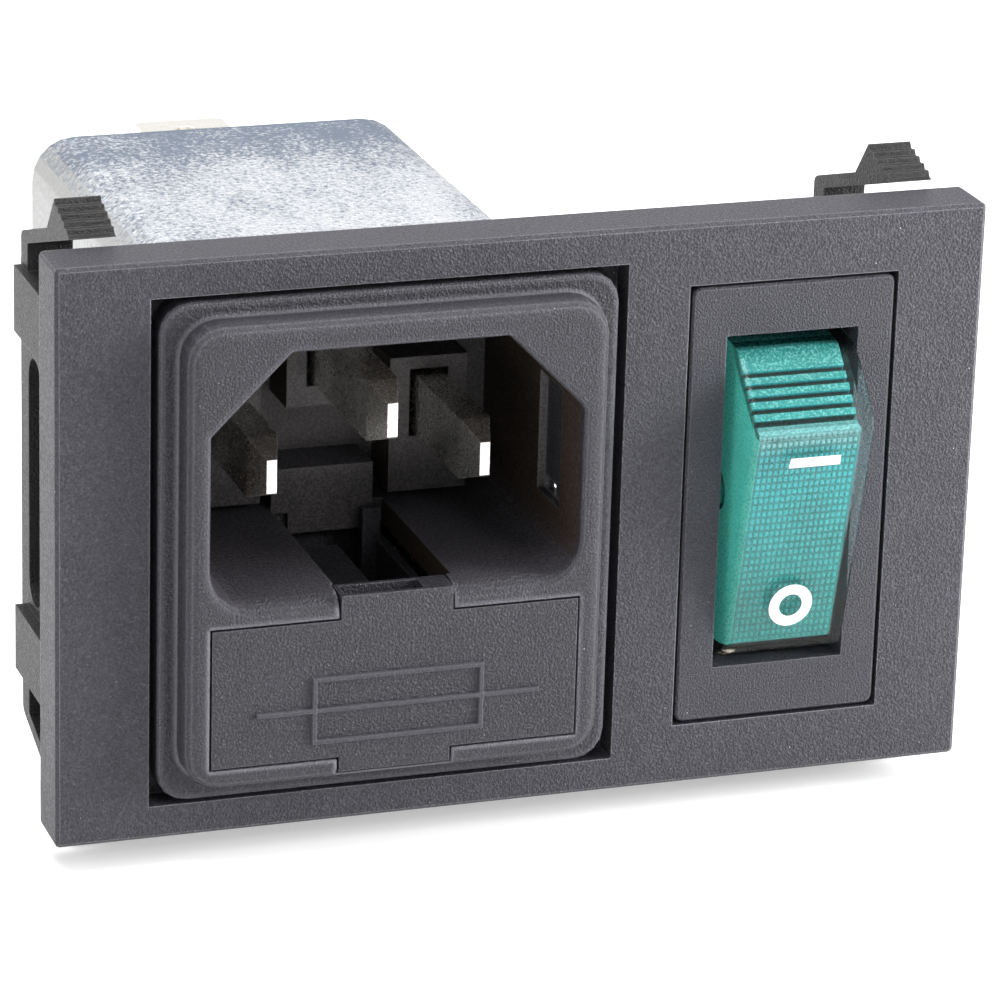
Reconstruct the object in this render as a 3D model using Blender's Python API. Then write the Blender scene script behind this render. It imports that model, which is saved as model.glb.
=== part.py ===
"""Panel power entry module: a snap-in frame that holds a filtered mains inlet with a drawer
for two fuses, and a lit two-pole rocker switch.

The origin is on the panel seat, the back face of the frame's plate, in the middle of the bar
between the two windows. +X is to the right seen from the front, +Y goes into the panel, +Z is up.
Sizes are in millimetres here, and every mesh is made in metres.
"""

import math

import bmesh
import bpy

MM = 0.001

# Frame plate
PLATE_HEIGHT = 37.9
PLATE_THICK = 4.0
PLATE_EDGE = 0.25
BAR_WIDTH = 4.15
LEFT_MARGIN = 5.96
RIGHT_MARGIN = 5.88
INLET_WINDOW_W = 30.83
INLET_WINDOW_H = 33.37
SWITCH_WINDOW_W = 14.18
SWITCH_WINDOW_H = 29.8
INLET_WINDOW_Z = -0.05
LEDGE_THICK = 1.9
LEDGE_GAP = 0.35
SEAT_GAP = 0.2

# Frame ends and rails behind the plate
WALL_INSET = 2.3
WALL_THICK = 1.8
WALL_DEPTH = 14.3
BLOCK_INSET = 1.5
BLOCK_DEPTH = 12.9
BLOCK_HEIGHT = 4.4
BLOCK_LOW = 9.33
BLOCK_SHIFT = 0.37
SLOT_FRONT = 9.0
SLOT_WIDTH = 3.3
SLOT_HEIGHT = 16.8
RAIL_HEIGHT = 1.75
RAIL_DEPTH = 4.4

# Snap catches
CATCH_INSET = 1.99
CATCH_WIDTH = 2.95
CATCH_POST = 1.7
CATCH_ROOT_Z = 15.96
CATCH_NOSE_Y = 0.45
CATCH_NOSE_Z = 19.37
CATCH_ARM = 0.92
CATCH_HUMP_Y = 6.1
CATCH_TOP_Y = 4.2
CATCH_TOP_Z = 20.92
CATCH_TEETH = 4
TOOTH_LEDGE = 0.58
TOOTH_RISE = 0.08
TOOTH_STEP = 0.2
TOOTH_DROP = 0.33

# Inlet housing
FLANGE_GAP_SIDE = 0.54
FLANGE_GAP_TOP = 0.28
FLANGE_Z = -0.16
FLANGE_CORNER = 2.0
FLANGE_EDGE = 0.3
BOSS_MARGIN = 1.22
BOSS_PROUD = 2.2
BOSS_CORNER = 2.3
BOSS_EDGE = 0.8
CAVITY_WIDTH = 24.2
CAVITY_TOP = 13.25
CAVITY_FLOOR = -2.85
CAVITY_DEPTH = 16.0
CAVITY_CHAMFER = 5.1
CAVITY_CORNER = 2.2
MOUTH_EDGE = 0.37
FLOOR_EDGE = 1.3
BACK_POCKET = 3.8
BACK_WALL = 1.4
PAD_HALF = 2.65
LIVE_PAD_LOW = -2.3
LIVE_PAD_RISE = 1.15
EARTH_PAD_DROP = 1.7
PIT_LEFT = 3.6
PIT_RIGHT = 4.15
PIT_DEPTH = 0.6
STEP_RIGHT = 3.3
STEP_TOP = -0.1
STEP_TOE = 1.15
TOE_DROP = 0.3
BODY_STEP = 0.25
SNAP_LOW = 0.9
SNAP_HIGH = 6.9
SNAP_DEPTH = 3.9
SNAP_PROUD = 0.85
SNAP_POCKET = 0.5
RECESS_DEPTH = 0.5
RECESS_MARGIN = 1.0
WINDOW_HIGH = 0.75
WINDOW_START = 0.3

# Inlet pins
PIN_PITCH = 14.0
PIN_Z = 3.75
EARTH_RISE = 4.0
PIN_WIDE = 2.0
PIN_TALL = 4.0
PIN_TIP_WIDE = 0.65
PIN_TIP_TALL = 2.2
PIN_TAPER = 2.2
LIVE_TIP_Y = -1.8
EARTH_TIP_Y = -4.35
PIN_SLOT_GAP = 0.3

# Fuse drawer and its place in the housing
DRAWER_WIDTH = 23.95
DRAWER_TOP = -4.5
DRAWER_BOTTOM = -13.7
DRAWER_FACE = 2.1
TAB_WIDTH = 7.3
TAB_TOP = -2.9
TAB_BOTTOM = -14.7
FACE_GAP = 0.15
TAB_POCKET_WALL = 0.3
TAB_POCKET_RIGHT = 1.8
TAB_POCKET_DEPTH = 0.9
WEB_RIGHT = 0.4
WEB_END = 8.0
WEB_WALL = 0.6
POST_LEFT = 2.3
POST_START = 8.6
POST_THICK = 0.8
TRAY_WALL = 0.45
TRAY_CORNER = 1.5
TRAY_GAP = 0.35
TRAY_END = 1.2
FUSE_PITCH = 13.2
FUSE_Z = -9.3
FUSE_LENGTH = 20.0
FUSE_RADIUS = 2.6
FUSE_CAP = 5.2
FUSE_CAP_WALL = 0.2
GLASS_WALL = 0.5
FUSE_GAP = 0.2
REAR_WALL = 1.6
BAY_WALL = 1.25
BAY_SIDE_WALL = 0.525

# Fuse contacts
LEAF_WIDTH = 3.0
LEAF_THICK = 0.35
LEAF_LENGTH = 4.4

# Filter can
CAN_CORNER = 3.0
CAN_WALL = 0.5
CAN_FRONT = 5.0
CAN_REAR = 36.5
CAN_END_EDGE = 0.9

# Rear terminals
BLADE_WIDTH = 6.3
BLADE_THICK = 0.8
BLADE_HOLE = 0.9
BLADE_REACH = 9.5
BLADE_CHAMFER = 1.2
TERMINAL_PITCH = 13.2
TERMINAL_Z = -4.0
BUSH_WIDTH = 20.4
BUSH_HEIGHT = 9.6
BUSH_PROUD = 1.5
BUSH_LIP = 1.0
EARTH_BLADE_Z = 13.3
EARTH_SHIFT = -0.5
EARTH_REACH = 8.1
EARTH_CHAMFER = 0.4
EARTH_FOOT_DROP = 6.4
RIVET_SHANK = 0.9
RIVET_HEAD = 1.7
SHEET_GAP = 0.3

# Filter parts
BOARD_THICK = 1.6
BOARD_INSET = 0.9
CHOKE_Z = 5.0
CHOKE_OUTER = 8.2
CHOKE_INNER = 4.9
CHOKE_THICK = 5.4
WINDING_THICK = 0.8
WINDING_TURNS = 11
WINDING_SWEEP = 128.0
X_CAP = (18.0, 8.6, 7.0)
X_CAP_GAP = 1.4
Y_CAP_RADIUS = 2.6
Y_CAP_THICK = 3.0
Y_CAP_GAP = 0.55
Y_CAP_Z = -3.4
RESISTOR_RADIUS = 1.2
RESISTOR_LENGTH = 6.6

# Switch insert
INSERT_GAP = 0.22
INSERT_CORNER = 0.5
INSERT_SNAP_PROUD = 0.7
INSERT_SNAP_HALF = 1.5
OPENING_WIDTH = 8.97
OPENING_HEIGHT = 22.5
OPENING_Z = 0.14
SWITCH_WALL = 1.2
SWITCH_ROOM_SIDE = 0.615
SWITCH_ROOM_END = 1.01
SWITCH_BODY_DEPTH = 12.0
BASE_THICK = 2.2
SWITCH_TAB_PITCH = 5.8
SWITCH_TAB_EDGE = 5.4
SWITCH_TAB_WIDTH = 4.8
SWITCH_TAB_REACH = 8.0

# Rocker
PIVOT_Y = -1.0
PIVOT_RADIUS = 1.2
PIVOT_GAP = 0.08
ROCKER_TILT = 10.0
ROCKER_SIDE_GAP = 0.34
SKIRT_RADIUS = 10.95
SKIRT_DEPTH = 2.6
ROCKER_GRIP = [(-5.1, 10.2), (-6.3, 9.05), (-7.5, 7.8), (-8.3, 6.75), (-8.5, 5.9)]
ROCKER_FOOT = [(-5.05, -9.1), (-4.8, -9.85)]
ROCKER_TOP_Y = -3.5
ROCKER_HEEL_Y = -4.0
COVER_WALL = 0.62
COVER_EDGE = 0.45
LENS_GAP = 0.1
LENS_WALL = 0.8
GRIP_SINK = 0.6
GRIP_GROOVES = 5
GROOVE_WIDTH = 0.42
GROOVE_DEPTH = 0.45
TAIL_REACH = 20.0
NOTCH_REACH = 8.0
CARRIER_THICK = 1.4
STEM_WALL = 0.55
STEM_START = 3.2
STEM_END = 7.0
PLUNGER_X = 2.5
PLUNGER_RADIUS = 0.9
PLUNGER_REACH = 8.5
SPRING_RADIUS = 0.55
SPRING_WIRE = 0.2
SPRING_TURNS = 4
SPRING_START = 4.1
SPRING_END = 5.4
LAMP_RADIUS = 1.2
LAMP_LENGTH = 5.6
LAMP_Y = -4.3
BALLAST_RADIUS = 0.8
BALLAST_Y = -2.7

# Contact bars of the switch
BAR_PIVOT_Y = 8.25
BAR_LENGTH = 18.0
BAR_THICK = 0.7
BAR_TILT = 8.0
CONTACT_BAR_W = 3.4
STUD_RADIUS = 1.1

# Places that follow from the sizes above
FRONT = -PLATE_THICK
INLET_X = -(BAR_WIDTH + INLET_WINDOW_W) / 2
SWITCH_X = (BAR_WIDTH + SWITCH_WINDOW_W) / 2
PLATE_LEFT = INLET_X - INLET_WINDOW_W / 2 - LEFT_MARGIN
PLATE_RIGHT = SWITCH_X + SWITCH_WINDOW_W / 2 + RIGHT_MARGIN
PLATE_X = (PLATE_LEFT + PLATE_RIGHT) / 2
PLATE_WIDTH = PLATE_RIGHT - PLATE_LEFT
FLANGE_BACK = -LEDGE_THICK - SEAT_GAP
BOSS_FRONT = FRONT - BOSS_PROUD
CAVITY_BACK = BOSS_FRONT + CAVITY_DEPTH
PIT_BACK = CAVITY_BACK + PIT_DEPTH
HOUSING_BACK = CAVITY_BACK + BACK_POCKET + BACK_WALL
TRAY_HALF = DRAWER_WIDTH / 2 - TRAY_WALL
TRAY_TOP = DRAWER_TOP - TRAY_WALL
TRAY_LOW = DRAWER_BOTTOM + TRAY_WALL
CAN_WIDTH = 2 * (CAN_WALL + BODY_STEP + BAY_SIDE_WALL + TRAY_GAP + TRAY_HALF)
CAN_HEIGHT = 2 * (CAN_WALL + BODY_STEP + BAY_WALL + TRAY_GAP - TRAY_LOW)
Y_CAP_X = CAN_WIDTH / 2 - CAN_WALL - Y_CAP_GAP - Y_CAP_RADIUS
X_CAP_Z = CAN_WALL + X_CAP_GAP + (X_CAP[2] - CAN_HEIGHT) / 2
FACE_BACK = BOSS_FRONT + DRAWER_FACE
FUSE_FRONT = FACE_BACK + TRAY_END - FUSE_GAP
FUSE_BACK = FUSE_FRONT + FUSE_LENGTH
TRAY_BACK = FUSE_BACK + FUSE_GAP + TRAY_END
BAY_BACK = TRAY_BACK + TRAY_GAP
BAY_TOP = TRAY_TOP + TRAY_GAP
LOWER_BACK = BAY_BACK + REAR_WALL
BOARD_FRONT = LOWER_BACK + SHEET_GAP
BOARD_BACK = BOARD_FRONT + BOARD_THICK
PART_FRONT = BOARD_BACK + SHEET_GAP
CHOKE_Y = PART_FRONT + WINDING_THICK + CHOKE_THICK / 2
CAN_INNER_BACK = CAN_REAR - CAN_WALL
EARTH_X = INLET_X + EARTH_SHIFT
SWITCH_BODY_W = OPENING_WIDTH + 2 * (SWITCH_WALL + SWITCH_ROOM_SIDE)
SWITCH_BODY_H = OPENING_HEIGHT + 2 * (OPENING_Z + SWITCH_WALL + SWITCH_ROOM_END)
SWITCH_TAB_DROP = SWITCH_BODY_H / 2 - SWITCH_TAB_EDGE
BASE_FRONT = SWITCH_BODY_DEPTH + SHEET_GAP
PIVOT = (PIVOT_Y, OPENING_Z)
GRIP_START = 7


def finish(name, colour, roughness, metallic=0.0, clear=0.0):
    """A plain material for one part; clear is how much light passes through it."""
    material = bpy.data.materials.new(name + "_finish")
    material.use_nodes = True
    shader = material.node_tree.nodes["Principled BSDF"]
    shader.inputs["Base Color"].default_value = (*colour, 1.0)
    shader.inputs["Roughness"].default_value = roughness
    shader.inputs["Metallic"].default_value = metallic
    shader.inputs["Transmission Weight"].default_value = clear
    material.diffuse_color = (*colour, 1.0)
    return material


CHARCOAL = (0.075, 0.072, 0.085)
TINNED = (0.80, 0.79, 0.76)
ZINC = (0.62, 0.65, 0.69)
COPPER = (0.70, 0.34, 0.16)
GREEN = (0.03, 0.50, 0.38)
WHITE = (0.80, 0.80, 0.76)


# Outlines and lofts

def arc(centre, radius, start, end, steps):
    """Points on an arc, with the angles in degrees."""
    points = []
    for i in range(steps + 1):
        angle = math.radians(start + (end - start) * i / steps)
        points.append((centre[0] + radius * math.cos(angle), centre[1] + radius * math.sin(angle)))
    return points


def rectangle(width, height, centre=(0.0, 0.0), corner=0.0, steps=3):
    """A rectangle about its centre, counter-clockwise, with round corners if asked."""
    half_w, half_h = width / 2, height / 2
    signs = [(1, 1), (-1, 1), (-1, -1), (1, -1)]
    points = []
    for i, (sx, sy) in enumerate(signs):
        if corner <= 0:
            points.append((centre[0] + sx * half_w, centre[1] + sy * half_h))
            continue
        middle = (centre[0] + sx * (half_w - corner), centre[1] + sy * (half_h - corner))
        points += arc(middle, corner, 90 * i, 90 * i + 90, steps)
    return points


def circle(radius, centre=(0.0, 0.0), sides=16):
    return arc(centre, radius, 0, 360 - 360 / sides, sides - 1)


def offset(points, distance):
    """The outline moved in by a distance, each corner on the meeting of its two moved sides."""
    moved = []
    count = len(points)
    for i in range(count):
        before, here, after = points[i - 1], points[i], points[(i + 1) % count]
        first = (here[0] - before[0], here[1] - before[1])
        second = (after[0] - here[0], after[1] - here[1])
        len_1, len_2 = math.hypot(*first), math.hypot(*second)
        normal_1 = (-first[1] / len_1, first[0] / len_1)
        normal_2 = (-second[1] / len_2, second[0] / len_2)
        scale = distance / (1 + normal_1[0] * normal_2[0] + normal_1[1] * normal_2[1])
        moved.append((here[0] + (normal_1[0] + normal_2[0]) * scale,
                      here[1] + (normal_1[1] + normal_2[1]) * scale))
    return moved


def loft(name, rings, closed=False):
    """A solid through rings of equal point counts, capped at both ends or joined end to end."""
    mesh = bpy.data.meshes.new(name)
    build = bmesh.new()
    loops = [[build.verts.new([value * MM for value in point]) for point in ring] for ring in rings]
    count = len(loops[0])
    pairs = list(zip(loops, loops[1:]))
    if closed:
        pairs.append((loops[-1], loops[0]))
    else:
        build.faces.new(loops[0])
        build.faces.new(reversed(loops[-1]))
    for low, high in pairs:
        for i in range(count):
            j = (i + 1) % count
            build.faces.new((low[i], high[i], high[j], low[j]))
    bmesh.ops.recalc_face_normals(build, faces=build.faces)
    build.to_mesh(mesh)
    build.free()
    made = bpy.data.objects.new(name, mesh)
    bpy.context.scene.collection.objects.link(made)
    return made


def along_y(name, sections, closed=False):
    """A loft of outlines in X and Z, each at its own Y."""
    rings = [[(x, y, z) for x, z in outline] for y, outline in sections]
    return loft(name, rings, closed)


def along_x(name, outline, start, end):
    """An outline in Y and Z, pulled out from one X to another."""
    return loft(name, [[(x, y, z) for y, z in outline] for x in (start, end)])


def block(name, x_span, y_span, z_span):
    low, high = y_span
    outline = rectangle(x_span[1] - x_span[0], z_span[1] - z_span[0],
                        (sum(x_span) / 2, sum(z_span) / 2))
    return along_y(name, [(low, outline), (high, outline)])


def turned(name, centre, profile, axis="Y", sides=16, closed=False):
    """A turned solid: profile lists (distance along the axis, radius)."""
    rings = []
    for reach, radius in profile:
        ring = []
        for u, v in circle(radius, sides=sides):
            local = {"X": (reach, u, v), "Y": (u, reach, v), "Z": (u, v, reach)}[axis]
            ring.append(tuple(local[i] + centre[i] for i in range(3)))
        rings.append(ring)
    return loft(name, rings, closed)


def combine(body, operation, tools):
    for tool in tools:
        modifier = body.modifiers.new(tool.name, "BOOLEAN")
        modifier.operation = operation
        modifier.solver = "EXACT"
        modifier.object = tool
        tool.hide_render = True
        tool.display_type = "WIRE"


def join(body, *tools):
    combine(body, "UNION", tools)


def cut(body, *tools):
    combine(body, "DIFFERENCE", tools)


def round_edges(body, width, segments=2, angle=40.0):
    modifier = body.modifiers.new("edges", "BEVEL")
    modifier.width = width * MM
    modifier.segments = segments
    modifier.limit_method = "ANGLE"
    modifier.angle_limit = math.radians(angle)


def dress(body, colour, roughness, metallic=0.0, clear=0.0, smooth=35.0):
    """Gives a part its material and shades its round faces smooth."""
    body.data.materials.append(finish(body.name, colour, roughness, metallic, clear))
    body.data.shade_smooth()
    body.data.set_sharp_from_angle(angle=math.radians(smooth))
    return body


def pivot_parent(name, place):
    """An empty on a joint's axis, which the moving parts hang from."""
    empty = bpy.data.objects.new(name, None)
    empty.empty_display_size = 0.005
    empty.location = [value * MM for value in place]
    bpy.context.scene.collection.objects.link(empty)
    return empty


def hang(parent, *parts):
    """Parents parts to a joint's empty and keeps their places."""
    bpy.context.view_layer.update()
    for part in parts:
        part.parent = parent
        part.matrix_parent_inverse = parent.matrix_world.inverted()


# Frame

def catch_outline():
    """One snap catch seen from the side: post, rising arm and toothed wedge, as (y, z)."""
    slope = (CATCH_NOSE_Z - CATCH_ROOT_Z) / (CATCH_NOSE_Y - (BLOCK_DEPTH - CATCH_POST))
    hump_z = CATCH_NOSE_Z + slope * (CATCH_HUMP_Y - CATCH_NOSE_Y) + CATCH_ARM
    rear_z = CATCH_NOSE_Z + slope * (BLOCK_DEPTH - CATCH_NOSE_Y) + CATCH_ARM
    post_foot = BLOCK_LOW + BLOCK_HEIGHT - 0.6
    points = [
        (BLOCK_DEPTH, post_foot),
        (BLOCK_DEPTH, rear_z - 0.35),
        (BLOCK_DEPTH - 0.15, rear_z - 0.05),
        (BLOCK_DEPTH - 0.5, rear_z + 0.15),
        (CATCH_HUMP_Y, hump_z),
        (CATCH_TOP_Y, CATCH_TOP_Z),
        (CATCH_TOP_Y - 0.25, CATCH_TOP_Z - 0.4),
    ]
    y, z = points[-1]
    for _ in range(CATCH_TEETH):
        y, z = y - TOOTH_LEDGE, z + TOOTH_RISE
        points.append((y, z))
        y, z = y - TOOTH_STEP, z - TOOTH_DROP
        points.append((y, z))
    points += [
        (CATCH_NOSE_Y, CATCH_NOSE_Z),
        (BLOCK_DEPTH - CATCH_POST, CATCH_ROOT_Z),
        (BLOCK_DEPTH - CATCH_POST, post_foot),
    ]
    return points


def end_pieces(side):
    """The end wall, its two blocks and its two catches; side is -1 at the left, 1 at the right."""
    name = "left" if side < 0 else "right"

    def span(inset, width):
        edge = PLATE_X + side * (PLATE_WIDTH / 2 - inset)
        return sorted((edge, edge - side * width))

    low, high = BLOCK_LOW, BLOCK_LOW + BLOCK_HEIGHT
    wall = block(name + "_wall", span(WALL_INSET, WALL_THICK), (-0.5, WALL_DEPTH),
                 (-high + BLOCK_SHIFT, high + BLOCK_SHIFT))
    pieces = [wall]
    block_width = CATCH_INSET + CATCH_WIDTH - BLOCK_INSET
    for up in (-1, 1):
        ends = sorted((up * low + BLOCK_SHIFT, up * high + BLOCK_SHIFT))
        pieces.append(block(f"{name}_block_{up}", span(BLOCK_INSET, block_width),
                            (-0.5, BLOCK_DEPTH), ends))
        outline = [(y, up * z) for y, z in catch_outline()]
        if up < 0:
            outline.reverse()
        pieces.append(along_x(f"{name}_catch_{up}", outline, *span(CATCH_INSET, CATCH_WIDTH)))
    slot_ends = rectangle(SLOT_WIDTH, SLOT_HEIGHT, (SLOT_FRONT + SLOT_WIDTH / 2, 0.0),
                          SLOT_WIDTH * 0.48, 4)
    slot = along_x(name + "_slot", slot_ends, *span(WALL_INSET - 1.0, WALL_THICK + 2.0))
    return pieces, slot


def make_frame():
    outline = rectangle(PLATE_WIDTH, PLATE_HEIGHT, (PLATE_X, 0.0), 0.3, 2)
    edge = offset(outline, PLATE_EDGE)
    frame = along_y("bezel_frame", [(FRONT, edge), (FRONT + PLATE_EDGE, outline), (0.0, outline)])
    left, left_slot = end_pieces(-1)
    right, right_slot = end_pieces(1)
    rails = []
    rail_low = CAN_HEIGHT / 2 - 0.2
    for up in (-1, 1):
        ends = sorted((up * rail_low, up * (rail_low + RAIL_HEIGHT)))
        x_ends = (PLATE_LEFT + WALL_INSET + 0.5, PLATE_RIGHT - WALL_INSET - 0.5)
        rails.append(block(f"rail_{up}", x_ends, (-0.5, RAIL_DEPTH), ends))
    join(frame, *left, *right, *rails)
    cuts = [left_slot, right_slot]
    inlet = rectangle(INLET_WINDOW_W, INLET_WINDOW_H, (INLET_X, INLET_WINDOW_Z))
    switch = rectangle(SWITCH_WINDOW_W, SWITCH_WINDOW_H, (SWITCH_X, 0.0))
    can_pass = rectangle(CAN_WIDTH + 2 * LEDGE_GAP, CAN_HEIGHT + 2 * LEDGE_GAP, (INLET_X, 0.0), CAN_CORNER)
    body_pass = rectangle(SWITCH_BODY_W + 2 * LEDGE_GAP, SWITCH_BODY_H + 2 * LEDGE_GAP, (SWITCH_X, 0.0), 0.6)
    for name, shape in (("inlet_window", inlet), ("switch_window", switch)):
        cuts.append(along_y(name, [(FRONT - 1, shape), (-LEDGE_THICK, shape)]))
    for name, shape in (("can_pass", can_pass), ("body_pass", body_pass)):
        cuts.append(along_y(name, [(FRONT - 1, shape), (WALL_DEPTH + 1, shape)]))
    for side in (-1, 1):
        cuts.append(snap_pocket(f"inlet_pocket_{side}", INLET_X, side, CAN_WIDTH / 2, SNAP_PROUD,
                                (SNAP_LOW, SNAP_HIGH)))
        for up in (-1, 1):
            middle = up * SWITCH_BODY_H / 4
            cuts.append(snap_pocket(f"switch_pocket_{side}_{up}", SWITCH_X, side, SWITCH_BODY_W / 2,
                                    INSERT_SNAP_PROUD, (middle - INSERT_SNAP_HALF, middle + INSERT_SNAP_HALF)))
    cut(frame, *cuts)
    return dress(frame, CHARCOAL, 0.55)


def snap_pocket(name, middle, side, half, proud, z_span):
    """The recess in the frame's back that a snap hooks into."""
    ends = sorted((middle + side * (half - 0.5), middle + side * (half + proud + SEAT_GAP)))
    return block(name, ends, (-SNAP_POCKET, 1.0), (z_span[0] - SEAT_GAP, z_span[1] + SEAT_GAP))


# Inlet housing

def cavity_outline(grow=0.0, drop=0.0):
    """The connector cavity: two chamfers above, two round corners below; the drop lowers the floor."""
    half = CAVITY_WIDTH / 2 + grow
    top = CAVITY_TOP + grow
    floor = CAVITY_FLOOR - drop
    chamfer = CAVITY_CHAMFER + grow * (2 - math.sqrt(2))
    corner = CAVITY_CORNER + drop
    points = [(half, top - chamfer), (half - chamfer, top), (chamfer - half, top), (-half, top - chamfer)]
    points += arc((corner - half, floor + corner), corner, 180, 270, 5)
    points += arc((half - corner, floor + corner), corner, 270, 360, 5)
    return [(INLET_X + x, z) for x, z in points]


def rounded_front(name, width, height, corner, front, back, edge, z=0.0, steps=3):
    """A block along Y whose front edge is rounded all the way round."""
    sections = []
    for i in range(steps + 1):
        angle = math.radians(90 * i / steps)
        inset = edge * (1 - math.sin(angle))
        outline = rectangle(width - 2 * inset, height - 2 * inset, (INLET_X, z),
                            corner - inset, 4)
        sections.append((front + edge * (1 - math.cos(angle)), outline))
    sections.append((back, rectangle(width, height, (INLET_X, z), corner, 4)))
    return along_y(name, sections)


def drawer_face_outline(grow=0.0):
    """The drawer's front: a bar with a pull tab above and a foot below."""
    half = DRAWER_WIDTH / 2 + grow
    tab = TAB_WIDTH / 2 + grow
    top, bottom = DRAWER_TOP + grow, DRAWER_BOTTOM - grow
    points = [
        (half, bottom), (half, top), (tab, top), (tab, TAB_TOP + grow),
        (-tab, TAB_TOP + grow), (-tab, top), (-half, top), (-half, bottom),
        (-tab, bottom), (-tab, TAB_BOTTOM - grow), (tab, TAB_BOTTOM - grow), (tab, bottom),
    ]
    return [(INLET_X + x, z) for x, z in points]


def tray_outline(grow=0.0):
    """The drawer's tray, with round corners below that follow the can."""
    half = TRAY_HALF + grow
    top, low = TRAY_TOP + grow, TRAY_LOW - grow
    corner = TRAY_CORNER + grow
    points = [(half, top), (-half, top)]
    points += arc((corner - half, low + corner), corner, 180, 270, 4)
    points += arc((half - corner, low + corner), corner, 270, 360, 4)
    return [(INLET_X + x, z) for x, z in points]


def pin_outline(x, z, wide, tall):
    return rectangle(wide, tall, (x, z))


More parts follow.
